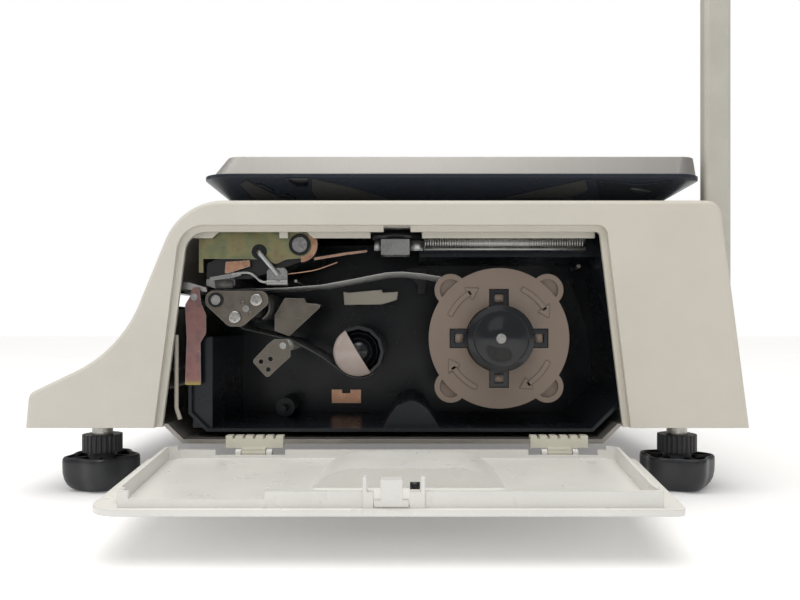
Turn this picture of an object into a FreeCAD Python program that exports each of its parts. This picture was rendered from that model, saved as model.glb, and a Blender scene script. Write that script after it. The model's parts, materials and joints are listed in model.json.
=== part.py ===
"""Label printing scale: weighing platter, side-loading label printer, pole display and levelling feet.

Millimetres. The operator stands at -Y and faces +Y, +X is the printer side, +Z is up.
The origin is on the bench, at the middle of the plan outline with the printer door open.
Places inside the printer bay are given as a depth behind the printer-side wall.
"""

import math
import os

import FreeCAD
import Part
from FreeCAD import Vector

# ---------------------------------------------------------------- driving dimensions

# Case
BODY_WIDTH = 376.0
SIDE = 123.5  # outer face of the printer-side wall
FAR_SIDE = SIDE - BODY_WIDTH
BODY_MID = SIDE - BODY_WIDTH / 2
WALL = 3.0
EDGE_ROUND = 3.0
CASE_BASE = 39.6
CASE_TOP = 173.2
# y, z and corner radius, from the front foot of the case over the top to the rear foot
CASE_OUTLINE = [
    (-212.7, CASE_BASE, 0.0),
    (-210.9, 59.7, 6.0),
    (-157.3, 85.2, 76.0),
    (-121.3, CASE_TOP, 37.0),
    (195.4, CASE_TOP, 9.0),
    (212.7, CASE_BASE, 0.0),
]

# Doorway of the printer bay: y, z and corner radius
DOORWAY = [
    (-136.9, 38.0, 0.0),
    (-121.5, 158.5, 16.0),
    (128.3, 158.5, 6.0),
    (142.7, 38.0, 0.0),
]
RECESS_DEPTH = 4.0
LEDGE = 3.5
LIP_DEPTH = 10.4
LIP_THICK = 2.0
LIP_Z = 152.0
LIP_RAISED_Z = 155.8

# Sheet steel base with the tub under the printer bay
PAN_SHEET = 1.5
PAN_Z = 40.0
TUB_THICK = 2.4
TUB_Z = 29.8
TUB_TOP = (-131.6, 137.4)
TUB_BOTTOM = (-121.6, 127.5)
TUB_FRONT = 4.6
TUB_BACK = 106.0

# Printer bay
BAY_FRONT = 13.0
BAY_BACK = 100.0
BAY_WALL = 2.4
BAY_FLOOR = 37.5
BAY_CEILING = 142.5
CEILING_FRONT = 30.0
BAY_TOP = 157.0

# Door and its hinge line; the door is drawn shut and swung open
DOOR_THICK = 2.6
DOOR_SKIN = 2.2
DOOR_GAP = 0.8
DOOR_FOOT = 29.2
DOOR_RIM_DEPTH = 9.5
HINGE_DEPTH = 3.5
HINGE_Z = 24.5
HINGE_PIN_R = 1.0
HINGES_Y = (-78.7, 101.4)
LATCH_Y = 6.5
LATCH_TOP = 154.6  # upper side of the latch block, with the door shut
LATCH_EAR = 1.7

# Weighing parts
PLATTER_Y = (-107.2, 188.0)
PLATTER_WIDTH = 360.0
PLATTER_TOP = 201.0
PLATTER_RIM = 190.0
PLATTER_SHEET = 1.0
CARRIER_Y = (-111.8, 189.2)
CARRIER_FOOT_Y = (-96.8, 167.8)
CARRIER_RIM = 189.7
CARRIER_FOOT = 175.2
CARRIER_WALL = 2.6
CELL_SIZE = (34.0, 130.0, 26.0)
CELL_Z = 112.0
CELL_HOLE_R = 9.0

# Feet
FOOT_Y = (-176.2, 177.6)
FOOT_INSET = 23.0
FOOT_R = 23.4
FOOT_TOP = 20.5
STUD_R = 6.1
NUT_R = 11.7
NUT_Z = (22.4, 33.0)
STUD_TOP = 58.0

# Pole and display head
POLE_DEPTH = (18.0, 28.0)
POLE_Y = (193.0, 209.5)
POLE_Z = (46.0, 456.0)
POLE_WALL = 1.5
POLE_SCREWS_Z = (76.0, 128.0)
DISPLAY_X = (-96.0, 118.0)
DISPLAY_Y = (186.0, 216.0)
DISPLAY_Z = (442.0, 522.0)
DISPLAY_WALL = 2.5

# Printer: axes that run along X, as (y, z)
PLATEN_AXIS = (-104.1, 115.0)
HEAD_AXIS = (-53.3, 148.3)
WIRE_AXIS = (-78.1, 144.9)
LEVER_AXIS = (-116.0, 116.6)
FEED_AXIS = (-86.0, 109.8)
TENSION_AXIS = (-63.5, 87.4)
REWIND_AXIS = (-18.7, 83.6)
SPOOL_AXIS = (68.0, 91.7)
TIE_RODS = ((-79.6, 115.0), (-92.7, 104.6))
PLATEN_R = 6.6
PLATEN_SHAFT_R = 2.9
HEAD_SHAFT_R = 4.5
FEED_R = 5.2
TENSION_R = 3.8
REWIND_R = 15.6
HUB_R = 20.2
ROLL_R = 37.2
SPOOL_R = 43.3
AXLE_R = 3.0
TIE_R = 2.5
RUN_FIT = 0.05  # radial clearance of a shaft in its bearing
PAPER = 0.25
PRINT_WIDTH = (20.0, 80.0)  # depths between which labels and liner run

# Drive behind the bay wall
GEAR_MODULE = 0.8
PLATEN_TEETH = 40
PINION_TEETH = 15
GEAR_DEPTH = (103.4, 106.4)
PULLEY_DEPTH = (106.4, 110.4)
PLATEN_PULLEY_R = 8.0
REWIND_PULLEY_R = 14.0
DRIVE_PLATE_DEPTH = (111.6, 113.1)
MOTOR_SIZE = 42.0
MOTOR_DEPTH = (113.1, 147.0)

# Label exit and spirit level
EXIT_Z = (112.0, 120.6)
EXIT_DEPTH = (17.0, 112.0)
LEVEL_R = 8.0
LEVEL_PLACE = (FAR_SIDE + 26.0, 150.0)

# Hole in the case top for the platter's riser
RISER_HOLE_R = 20.0

# Rear panel: one band of openings, and data sockets as x, width and height
REAR_Z = (62.0, 82.0)
INLET_X = (-232.0, -204.5)
SWITCH_X = (-197.0, -183.0)
SWITCH_AXIS = (204.0, 72.0)
SOCKETS_X = (-152.0, -80.0)
SOCKETS = ((-151.0, 16.0, 13.6), (-131.5, 15.0, 16.0), (-113.0, 13.0, 12.0), (-97.0, 15.0, 7.0))

# Key panel on the deck
KEYPAD_X = (-238.0, 0.0)
KEYPAD_Y = (-204.0, -149.5)

# Plates, wires and spindles about the print head
HEAD_PLATE_DEPTH = (14.4, 16.2)
HEAD_ARM_DEPTH = (17.4, 84.0)
BRACKET_DEPTH = (14.4, 16.2)
LEVER_DEPTH = (10.4, 12.0)
ROLLER_DEPTH = (17.0, 84.0)
WIRE_R = 1.3
WIRE_END = (-66.3, 130.2)
PIVOT_R = 2.0

# Rewinder, low boss and motor position
REWIND_SHAFT_R = 4.0
REWIND_DEPTH = (21.0, 84.0)
LOWER_BOSS = (-71.5, 44.0)
MOTOR_ANGLE = math.radians(-75.0)
MOTOR_SHAFT_R = 2.5

# Label spool
HUB_DEPTH = (10.9, 84.0)
FLANGE_DEPTH = (22.6, 26.0)
LABEL_DEPTH = (27.0, 79.0)
LUG_HALF = 5.6
LUG_REACH = 30.0
EAR_REACH = 42.1
EAR_R = 9.9

# Door details: rim, finger scoop and the lowered part of the rim
DOOR_RIM_INSET = 12.5
SCOOP_Y = (-33.0, 58.0)
SCOOP_Z = (66.0, 113.0)
SCOOP_RISE = 9.2
SCOOP_SHOULDER = 22.0
DOOR_LOW_RIM_Y = (-104.4, -47.5)

FOOT_NAMES = ("foot_front_near", "foot_front_far", "foot_rear_near", "foot_rear_far")


# ---------------------------------------------------------------- shape helpers


def at(depth):
    """X of a point that lies this deep behind the printer-side wall."""
    return SIDE - depth


def box(x, y, z):
    """A block between two values on each axis."""
    low = [min(pair) for pair in (x, y, z)]
    size = [abs(pair[1] - pair[0]) for pair in (x, y, z)]
    return Part.makeBox(*size, Vector(*low))


def bay_box(depths, y, z):
    """A block whose X span is given as two depths."""
    return box((at(depths[0]), at(depths[1])), y, z)


def rod(axis, radius, depths):
    """A round bar along X through (y, z) between two depths."""
    start, end = sorted(at(depth) for depth in depths)
    return Part.makeCylinder(radius, end - start, Vector(start, *axis), Vector(1, 0, 0))


def tube(axis, outer, inner, depths):
    """A round sleeve along X."""
    return rod(axis, outer, depths).cut(rod(axis, inner, depths))


def post(x, y, radius, z):
    """A round bar along Z."""
    return Part.makeCylinder(radius, z[1] - z[0], Vector(x, y, z[0]))


def fuse(shapes):
    """All the shapes as one."""
    whole = shapes[0]
    for shape in shapes[1:]:
        whole = whole.fuse(shape)
    return whole.removeSplitter()


def rounded_edges(points, radii):
    """Edges round a closed plane outline, with an arc at each corner that has a radius."""
    arcs = []
    for i, corner in enumerate(points):
        if not radii[i]:
            arcs.append((corner, corner, corner))
            continue
        back = (points[i - 1] - corner).normalize()
        ahead = (points[(i + 1) % len(points)] - corner).normalize()
        half = back.getAngle(ahead) / 2
        reach = radii[i] / math.tan(half)
        bulge = radii[i] / math.sin(half) - radii[i]
        middle = corner + (back + ahead).normalize() * bulge
        arcs.append((corner + back * reach, middle, corner + ahead * reach))
    edges = []
    for i, (start, middle, end) in enumerate(arcs):
        if radii[i]:
            edges.append(Part.Arc(start, middle, end).toShape())
        following = arcs[(i + 1) % len(arcs)][0]
        if (following - end).Length > 1e-6:
            edges.append(Part.LineSegment(end, following).toShape())
    return edges


def slab(corners, depths):
    """A plate in the Y-Z plane with the outline's rounded corners, between two depths."""
    near, far = (at(depth) for depth in depths)
    points = [Vector(far, corner[0], corner[1]) for corner in corners]
    radii = [corner[2] if len(corner) > 2 else 0.0 for corner in corners]
    face = Part.Face(Part.Wire(rounded_edges(points, radii)))
    return face.extrude(Vector(near - far, 0, 0))


def plan_plate(x, y, z, radius):
    """A plate with rounded plan corners."""
    points = [Vector(x[0], y[0], z[0]), Vector(x[0], y[1], z[0])]
    points += [Vector(x[1], y[1], z[0]), Vector(x[1], y[0], z[0])]
    face = Part.Face(Part.Wire(rounded_edges(points, [radius] * 4)))
    return face.extrude(Vector(0, 0, z[1] - z[0]))


def plan_loft(lower, upper):
    """A tapered block between two rounded rectangles, each given as x, y, z and radius."""
    wires = []
    for x, y, z, radius in (lower, upper):
        points = [Vector(x[0], y[0], z), Vector(x[0], y[1], z)]
        points += [Vector(x[1], y[1], z), Vector(x[1], y[0], z)]
        wires.append(Part.Wire(rounded_edges(points, [radius] * 4)))
    return Part.makeLoft(wires, True)


def inset(corners, distances):
    """The clockwise outline with each side, in order, moved inwards by its own distance."""
    sides = []
    for i, start in enumerate(corners):
        end = corners[(i + 1) % len(corners)]
        length = math.hypot(end[0] - start[0], end[1] - start[1])
        along = ((end[0] - start[0]) / length, (end[1] - start[1]) / length)
        point = (start[0] + along[1] * distances[i], start[1] - along[0] * distances[i])
        sides.append((point, along))
    moved = []
    for i, corner in enumerate(corners):
        (p, u), (q, v) = sides[i - 1], sides[i]
        turn = u[0] * v[1] - u[1] * v[0]
        step = ((q[0] - p[0]) * v[1] - (q[1] - p[1]) * v[0]) / turn
        change = distances[i] if turn > 0 else -distances[i]
        radius = max(corner[2] + change, 0.0) if corner[2] else 0.0
        moved.append((p[0] + u[0] * step, p[1] + u[1] * step, radius))
    return moved


def strip(points, thickness, depths):
    """A sheet along X whose section follows the points, thickened to the left of their direction."""
    near = []
    for i, (y, z) in enumerate(points):
        before = points[max(i - 1, 0)]
        after = points[min(i + 1, len(points) - 1)]
        length = math.hypot(after[0] - before[0], after[1] - before[1])
        normal = (-(after[1] - before[1]) / length, (after[0] - before[0]) / length)
        near.append((y + normal[0] * thickness, z + normal[1] * thickness))
    return slab(list(points) + near[::-1], depths)


def arc_points(centre, radius, start, end, count):
    """Points on an arc in the Y-Z plane, from one angle to another in degrees."""
    turns = [math.radians(start + (end - start) * i / (count - 1)) for i in range(count)]
    return [(centre[0] + radius * math.cos(t), centre[1] + radius * math.sin(t)) for t in turns]


def tube_path(points, radius, bend):
    """A round wire through the points, with one bend radius at every inner point."""
    edges = []
    start = points[0]
    for i in range(1, len(points) - 1):
        back = (points[i - 1] - points[i]).normalize()
        ahead = (points[i + 1] - points[i]).normalize()
        half = back.getAngle(ahead) / 2
        reach = bend / math.tan(half)
        arc_start = points[i] + back * reach
        arc_end = points[i] + ahead * reach
        middle = points[i] + (back + ahead).normalize() * (bend / math.sin(half) - bend)
        edges.append(Part.LineSegment(start, arc_start).toShape())
        edges.append(Part.Arc(arc_start, middle, arc_end).toShape())
        start = arc_end
    edges.append(Part.LineSegment(start, points[-1]).toShape())
    heading = points[1] - points[0]
    profile = Part.Wire(Part.makeCircle(radius, points[0], heading))
    return Part.Wire(edges).makePipeShell([profile], True, False)


def gear(axis, teeth, depths, bore, phase=0.0):
    """A spur gear along X with straight-sided teeth and a bore."""
    pitch_r = GEAR_MODULE * teeth / 2
    tip_r = pitch_r + 0.85 * GEAR_MODULE
    root_r = pitch_r - 1.15 * GEAR_MODULE
    step = 2 * math.pi / teeth
    points = []
    for i in range(teeth):
        middle = phase + i * step
        for radius, offset in ((root_r, -0.36), (tip_r, -0.13), (tip_r, 0.13), (root_r, 0.36)):
            angle = middle + offset * step
            points.append((axis[0] + radius * math.cos(angle), axis[1] + radius * math.sin(angle)))
    return slab(points, depths).cut(rod(axis, bore, depths))


# ---------------------------------------------------------------- case


def doorway_block(grow, depths):
    """The doorway's outline, grown outwards, as a block whose foot runs below the case."""
    return slab(inset(DOORWAY, [-grow, -grow, -grow, -4.0]), depths)


def pole_screw_holes():
    """Clearance holes for the two screws that hold the pole."""
    middle = at((POLE_DEPTH[0] + POLE_DEPTH[1]) / 2)
    holes = []
    for z in POLE_SCREWS_Z:
        start = Vector(middle, POLE_Y[0] - 6.0, z)
        holes.append(Part.makeCylinder(1.9, POLE_WALL + 6.0, start, Vector(0, 1, 0)))
    return Part.makeCompound(holes)


def pole_slot(grow):
    """The upright channel in the rear face that takes the pole."""
    depths = (POLE_DEPTH[0] - 0.3 - grow, POLE_DEPTH[1] + 0.3 + grow)
    foot = POLE_Z[0] - 0.5 - grow
    return bay_box(depths, (POLE_Y[0] - 0.3 - grow, 230.0), (foot, CASE_TOP + 20.0))


def exit_slot(grow):
    """The straight way that labels leave by, through the steep front face."""
    depths = (EXIT_DEPTH[0] - grow, EXIT_DEPTH[1] + grow)
    return bay_box(depths, (-165.0, -118.0), (EXIT_Z[0] - grow, EXIT_Z[1] + grow))


def platter_mid():
    """Y of the platter's middle."""
    return (PLATTER_Y[0] + PLATTER_Y[1]) / 2


def lip_cutouts():
    """Notches in the lip over the doorway, for the print head and the door latch."""
    depths = (LIP_DEPTH - 1.0, LIP_DEPTH + LIP_THICK + 1.0)
    low = LIP_Z - 1.0
    high = LIP_RAISED_Z
    head = [(-105.7, low), (-105.7, LIP_Z), (-101.5, high), (-65.1, high), (-65.1, low)]
    arm = [(-60.0, low), (-60.0, high), (-49.1, high), (-44.8, LIP_Z), (-44.8, low)]
    latch = [(-10.5, low), (-10.5, high), (20.4, high), (20.4, low)]
    travel = bay_box((RECESS_DEPTH - 0.1, depths[1]), (LATCH_Y - 9.0, LATCH_Y + 7.0), (low, 158.3))
    return fuse([slab(notch, depths) for notch in (head, arm, latch)] + [travel])


def rear_cutouts():
    """Openings in the rear face for the mains inlet, the switch and the data sockets."""
    y = (190.0, 230.0)
    return fuse([box(x, y, REAR_Z) for x in (INLET_X, SWITCH_X, SOCKETS_X)])


def upper_housing():
    """One-piece moulded cover: sloping key deck, steep label front, flat top and rear."""
    outer = slab(CASE_OUTLINE, (0.0, BODY_WIDTH))
    ends = (SIDE, FAR_SIDE)
    rounded = []
    for edge in outer.Edges:
        bounds = edge.BoundBox
        on_end = any(abs(bounds.XMin - x) < 1e-4 and abs(bounds.XMax - x) < 1e-4 for x in ends)
        if on_end and bounds.ZMax > CASE_BASE + 1.0:
            rounded.append(edge)
    outer = outer.makeFillet(EDGE_ROUND, rounded)
    hollow = slab(inset(CASE_OUTLINE, [WALL] * 5 + [-1.0]), (WALL, BODY_WIDTH - WALL))
    hollow = hollow.cut(doorway_block(2.5, (0.0, RECESS_DEPTH + 2.5)))
    lip = bay_box((LIP_DEPTH, LIP_DEPTH + LIP_THICK), (-118.0, 124.0), (LIP_Z, CASE_TOP))
    hollow = hollow.cut(pole_slot(WALL)).cut(lip)
    case = outer.cut(hollow).cut(pole_slot(0.0))
    case = case.cut(doorway_block(0.0, (-1.0, RECESS_DEPTH)))
    ledge = [LEDGE, LEDGE, LEDGE, -4.0]
    case = case.cut(slab(inset(DOORWAY, ledge), (-1.0, RECESS_DEPTH + 3.0)))
    case = case.cut(lip_cutouts()).cut(exit_slot(1.5)).cut(rear_cutouts())
    case = case.cut(pole_screw_holes())
    case = case.cut(post(BODY_MID, platter_mid(), RISER_HOLE_R, (CASE_TOP - 6.0, CASE_TOP + 5.0)))
    return case.cut(post(*LEVEL_PLACE, LEVEL_R, (CASE_TOP - 6.0, CASE_TOP + 1.0)))


def tub_outline(grow):
    """Section of the tub under the printer bay, up to the base sheet."""
    top = PAN_Z + PAN_SHEET
    slope = (TUB_BOTTOM[0] - TUB_TOP[0]) / (CASE_BASE - TUB_Z)
    reach = slope * (top - CASE_BASE)
    corners = [(TUB_BOTTOM[1], TUB_Z, 0.0), (TUB_BOTTOM[0], TUB_Z, 0.0)]
    corners += [(TUB_TOP[0] - reach, top, 0.0), (TUB_TOP[1] + reach, top, 0.0)]
    return inset(corners, [-grow, -grow, 0.0, -grow])


def base_pan():
    """Pressed steel base: a flat sheet with a tub under the bay and weld nuts for the feet."""
    x = (FAR_SIDE + WALL + 0.4, SIDE - WALL - 0.4)
    sheet = box(x, (-208.4, 208.4), (PAN_Z, PAN_Z + PAN_SHEET))
    well = slab(tub_outline(0.0), (TUB_FRONT, TUB_BACK))
    mouth = slab(tub_outline(2.0), (-1.0, TUB_FRONT))
    hollow = slab(tub_outline(-TUB_THICK), (TUB_FRONT - 1.0, TUB_BACK - TUB_THICK))
    sheet = sheet.cut(mouth).cut(doorway_block(2.8, (-1.0, RECESS_DEPTH + 2.8)))
    pan = sheet.fuse(well).cut(hollow)
    for y in ((-145.0, TUB_TOP[0] - 0.6), (TUB_TOP[1] + 0.6, 150.0)):
        pan = pan.cut(bay_box((0.0, RECESS_DEPTH + 2.8), y, (TUB_Z, 45.0)))
    for foot_x, foot_y in foot_places():
        pan = pan.fuse(post(foot_x, foot_y, 9.5, (PAN_Z, STUD_TOP + 3.0)))
    for foot_x, foot_y in foot_places():
        pan = pan.cut(post(foot_x, foot_y, STUD_R + RUN_FIT, (PAN_Z - 1.0, STUD_TOP + 1.0)))
    for x, y in screw_places():
        pan = pan.cut(post(x, y, 2.2, (PAN_Z - 1.0, PAN_Z + PAN_SHEET + 1.0)))
    return pan.removeSplitter()


def screw_places():
    """Plan positions of the screws that hold the cover to the base."""
    x_places = (FAR_SIDE + 70.0, BODY_MID)
    return [(x, y) for x in x_places for y in (-190.0, 195.0)]


def case_screws():
    """Pan-head screws: four up into the case bosses and two from inside into the pole."""
    screws = []
    for x, y in screw_places():
        head = post(x, y, 3.8, (PAN_Z - 2.2, PAN_Z))
        screws.append(head.fuse(post(x, y, 1.9, (PAN_Z - 1.0, PAN_Z + 12.0))))
    middle = at((POLE_DEPTH[0] + POLE_DEPTH[1]) / 2)
    wall = POLE_Y[0] - 0.3 - WALL
    for z in POLE_SCREWS_Z:
        head = Part.makeCylinder(3.8, 2.2, Vector(middle, wall - 2.2, z), Vector(0, 1, 0))
        shank = Part.makeCylinder(1.9, 6.0, Vector(middle, wall - 1.0, z), Vector(0, 1, 0))
        screws.append(head.fuse(shank))
    return Part.makeCompound(screws)


def compartment_liner():
    """Black moulded bay: rear wall, sloping end, floor with an arch, left post and ceiling."""
    depths = (BAY_FRONT, BAY_BACK)
    floor = [(-120.4, 92.7), (-118.4, 92.7), (-118.4, 47.3), (-108.6, BAY_FLOOR)]
    floor += [(122.7, BAY_FLOOR), (144.5, 59.3), (141.1, 95.9), (127.8, 132.6), (127.8, BAY_TOP)]
    under = [(130.2, BAY_TOP), (130.2, 133.0), (143.5, 96.2), (147.0, 58.4)]
    under += [(123.7, BAY_FLOOR - 2.0), (-109.5, BAY_FLOOR - 2.0), (-120.4, 46.5)]
    shell = slab(floor + under, depths)
    wall = [(-120.4, 46.5), (-120.4, BAY_TOP), (130.2, BAY_TOP), (130.2, 133.0)]
    wall += [(143.5, 96.2), (147.0, 58.4), (123.7, BAY_FLOOR - 2.0), (-109.5, BAY_FLOOR - 2.0)]
    shell = shell.fuse(slab(wall, (BAY_BACK, BAY_BACK + BAY_WALL)))
    column = bay_box((16.0, BAY_BACK), (-118.4, -106.6), (BAY_FLOOR, 92.7))
    column = column.cut(bay_box((18.0, BAY_BACK), (-116.4, -108.6), (BAY_FLOOR + 6.0, 94.0)))
    arch = [(-3.4, BAY_FLOOR), (4.6, 50.3, 6), (15.4, 54.4, 8), (23.6, 49.0, 6), (31.3, BAY_FLOOR)]
    arch_top = slab(arch, (20.0, BAY_BACK))
    ceiling = bay_box((CEILING_FRONT, BAY_BACK), (19.0, 128.8), (BAY_CEILING, BAY_CEILING + 2.0))
    apron = bay_box((CEILING_FRONT, CEILING_FRONT + 2.0), (19.0, 128.8), (BAY_CEILING, BAY_TOP))
    cheek = bay_box((CEILING_FRONT, BAY_BACK), (19.0, 21.0), (BAY_CEILING, BAY_TOP))
    shell = shell.fuse([column, arch_top, ceiling, apron, cheek, lower_boss()])
    for axis, radius in wall_holes():
        shell = shell.cut(rod(axis, radius, (BAY_BACK - 1.0, BAY_BACK + BAY_WALL + 1.0)))
    return shell.removeSplitter()


def wall_holes():
    """Shafts and axles that pass through the bay's rear wall, with the radius of each hole."""
    return [
        (PLATEN_AXIS, PLATEN_SHAFT_R + RUN_FIT),
        (REWIND_AXIS, REWIND_SHAFT_R + RUN_FIT),
        (SPOOL_AXIS, AXLE_R),
        (HEAD_AXIS, HEAD_SHAFT_R),
        (FEED_AXIS, PIVOT_R),
        (TENSION_AXIS, PIVOT_R),
        (LEVER_AXIS, PIVOT_R),
    ] + [(axis, TIE_R) for axis in TIE_RODS]


def lower_boss():
    """Moulded guide boss low in the bay, with a rounded nose."""
    base = rod(LOWER_BOSS, 6.5, (70.0, BAY_BACK))
    return base.fuse(rod(LOWER_BOSS, 2.2, (60.0, 70.0)))


def deck_band(lift, thick, y, depths):
    """A layer of even thickness on the front of the case, between two values of Y."""
    outer = inset(CASE_OUTLINE, [-(lift + thick)] * 6)
    inner = inset(CASE_OUTLINE, [-lift] * 6)
    layer = slab(outer, depths).cut(slab(inner, (depths[0] - 1.0, depths[1] + 1.0)))
    return layer.common(box((FAR_SIDE, SIDE), y, (CASE_BASE + 5.0, CASE_TOP + 5.0)))


def keypad_panel():
    """Membrane key panel bonded on the sloping deck."""
    return deck_band(0.0, 0.8, KEYPAD_Y, (SIDE - KEYPAD_X[1], SIDE - KEYPAD_X[0]))


def label_exit_frame():
    """Moulded surround of the label slot, with a lip below it."""
    depths = (EXIT_DEPTH[0] - 7.0, EXIT_DEPTH[1] + 7.0)
    face = deck_band(0.0, 2.0, (-152.5, -137.5), depths)
    sleeve = exit_slot(1.4).common(slab(CASE_OUTLINE, (0.0, BODY_WIDTH)))
    sleeve = sleeve.common(box((FAR_SIDE, SIDE), (-165.0, -137.0), (90.0, 140.0)))
    return face.fuse(sleeve).cut(exit_slot(0.0)).removeSplitter()


# ---------------------------------------------------------------- weighing parts


def platter():
    """Pressed stainless weighing platter with sloping turned-down edges."""
    half = PLATTER_WIDTH / 2
    outer = plan_loft(*platter_levels(half, 0.0))
    inner = plan_loft(*platter_levels(half, PLATTER_SHEET))
    return outer.cut(inner)


def platter_levels(half, sheet):
    """Lower and upper outline of the platter, or of its inside when the sheet has a thickness."""
    front, rear = PLATTER_Y
    lower_x = (BODY_MID - half + sheet, BODY_MID + half - sheet)
    upper_x = (BODY_MID - half + 3.5 + sheet, BODY_MID + half - 3.5 - sheet)
    lower = (lower_x, (front + sheet, rear - sheet), PLATTER_RIM - sheet * 0.2, 14.0 - sheet)
    upper_y = (front + 9.0 + sheet, rear - 1.8 - sheet)
    return lower, (upper_x, upper_y, PLATTER_TOP - sheet, 10.0 - sheet)


def platter_carrier():
    """Black moulded tray that carries the platter on four rests, bolted to the load cell."""
    half = PLATTER_WIDTH / 2 + 1.5
    foot_half = half - 22.0
    rim_x = (BODY_MID - half, BODY_MID + half)
    foot_x = (BODY_MID - foot_half, BODY_MID + foot_half)
    outer = plan_loft((foot_x, CARRIER_FOOT_Y, CARRIER_FOOT, 8.0), (rim_x, CARRIER_Y, 187.7, 16.0))
    rim = plan_plate(rim_x, CARRIER_Y, (187.7, CARRIER_RIM), 16.0)
    t = CARRIER_WALL
    floor_x = (foot_x[0] + t, foot_x[1] - t)
    floor_y = (CARRIER_FOOT_Y[0] + t, CARRIER_FOOT_Y[1] - t)
    well_x = (rim_x[0] + t, rim_x[1] - t)
    well_y = (CARRIER_Y[0] + t, CARRIER_Y[1] - t)
    floor_z = CARRIER_FOOT + t
    well = plan_loft((floor_x, floor_y, floor_z, 6.0), (well_x, well_y, 187.7, 14.0))
    well = well.fuse(plan_plate(well_x, well_y, (187.7, CARRIER_RIM + 1.0), 14.0))
    tray = outer.fuse(rim).cut(well)
    ribs = []
    for y in (CARRIER_FOOT_Y[0] + 30.0, platter_mid() - 30.0, platter_mid() + 30.0, 134.0):
        ribs.append(box(floor_x, (y - 1.2, y + 1.2), (floor_z - 0.5, 188.0)))
    for x in (BODY_MID - 90.0, BODY_MID - 30.0, BODY_MID + 30.0, BODY_MID + 90.0):
        ribs.append(box((x - 1.2, x + 1.2), floor_y, (floor_z - 0.5, 188.0)))
    rests = []
    for x in (BODY_MID - 120.0, BODY_MID + 120.0):
        for y in (-55.0, 130.0):
            rests.append(post(x, y, 8.0, (floor_z - 0.5, PLATTER_TOP - PLATTER_SHEET - 0.2)))
    return tray.fuse(ribs + rests).removeSplitter()


def load_cell():
    """Aluminium bending-beam cell with its pair of joined spring holes."""
    width, length, height = CELL_SIZE
    mid = platter_mid()
    level = CELL_Z + height / 2
    near, far = mid - 14.0, mid + 14.0
    x = (BODY_MID - width / 2, BODY_MID + width / 2)
    beam = box(x, (mid - length / 2, mid + length / 2), (CELL_Z, CELL_Z + height))
    for hole_y in (near, far):
        start = Vector(x[0] - 1.0, hole_y, level)
        beam = beam.cut(Part.makeCylinder(CELL_HOLE_R, width + 2.0, start, Vector(1, 0, 0)))
    return beam.cut(box((x[0] - 1.0, x[1] + 1.0), (near, far), (level - 2.0, level + 2.0)))


def cell_brackets():
    """Cast stand under the fixed end of the cell, and riser from its free end to the tray."""
    mid = platter_mid()
    y = CELL_SIZE[1] / 2
    stand = box((BODY_MID - 24.0, BODY_MID + 24.0), (mid - y, mid - y + 40.0), (PAN_Z + PAN_SHEET, CELL_Z))
    window = box((BODY_MID - 14.0, BODY_MID + 14.0), (mid - y - 1.0, mid - y + 41.0), (52.0, CELL_Z - 12.0))
    top = CELL_Z + CELL_SIZE[2]
    arm = box((BODY_MID - 15.0, BODY_MID + 15.0), (mid - 12.0, mid + y), (top + 14.0, top + 24.0))
    block = box((BODY_MID - 15.0, BODY_MID + 15.0), (mid + y - 30.0, mid + y), (top, top + 14.0))
    stem = post(BODY_MID, mid, 12.0, (top + 20.0, CARRIER_FOOT))
    return Part.makeCompound([stand.cut(window), fuse([arm, block, stem])])


def bubble_level():
    """Round spirit level: a ring cup in the case top and its domed vial."""
    x, y = LEVEL_PLACE
    cup = post(x, y, LEVEL_R, (CASE_TOP - 9.0, CASE_TOP))
    cup = cup.cut(post(x, y, LEVEL_R - 2.0, (CASE_TOP - 7.0, CASE_TOP + 1.0)))
    vial = post(x, y, LEVEL_R - 2.0, (CASE_TOP - 7.0, CASE_TOP - 0.4))
    return Part.makeCompound([cup, vial])


# ---------------------------------------------------------------- electronics


def main_board():
    """Main circuit board on edge behind the rear face, with its data sockets."""
    board = box((-160.0, -70.0), (182.0, 183.6), (44.0, 120.0))
    parts = [board]
    for x, width, height in SOCKETS:
        parts.append(box((x, x + width), (183.6, 207.5), (REAR_Z[0] + 0.6, REAR_Z[0] + 0.6 + height)))
    for x, z, size in ((-130.0, 96.0, 14.0), (-104.0, 100.0, 10.0), (-86.0, 92.0, 8.0)):
        parts.append(box((x, x + size), (180.4, 182.0), (z, z + size)))
    return Part.makeCompound(parts)


def power_supply():
    """Closed mains supply in a folded steel case, fixed to the base pan."""
    x = (FAR_SIDE + 14.0, FAR_SIDE + 72.0)
    return box(x, (70.0, 168.0), (PAN_Z + PAN_SHEET, PAN_Z + PAN_SHEET + 34.0))


def power_inlet():
    """Recessed appliance inlet with three contact blades."""
    x, z = INLET_X, REAR_Z
    low = (x[0] + 0.3, z[0] + 0.3)
    high = (x[1] - 0.3, z[1] - 0.3)
    body = box((low[0], high[0]), (186.0, 207.8), (low[1], high[1]))
    body = body.cut(box((low[0] + 2.0, high[0] - 2.0), (192.0, 220.0), (low[1] + 2.0, high[1] - 2.0)))
    middle = (x[0] + x[1]) / 2
    level = (z[0] + z[1]) / 2
    for offset in (-7.0, 0.0, 7.0):
        blade_x = (middle + offset - 1.0, middle + offset + 1.0)
        body = body.fuse(box(blade_x, (191.0, 204.0), (level - 2.0, level + 2.0)))
    return body.removeSplitter()


def power_switch():
    """Rocker of the mains switch, on its pivot line."""
    x = (SWITCH_X[0] + 0.8, SWITCH_X[1] - 0.8)
    y, z = SWITCH_AXIS
    half = (REAR_Z[1] - REAR_Z[0]) / 2 - 1.2
    corners = [(y - 4.0, z - half), (y - 4.0, z + half)]
    corners += [(y + 4.6, z + half), (y + 2.6, z), (y + 1.0, z - half)]
    return slab(corners, (SIDE - x[1], SIDE - x[0]))


# ---------------------------------------------------------------- pole and display


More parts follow.
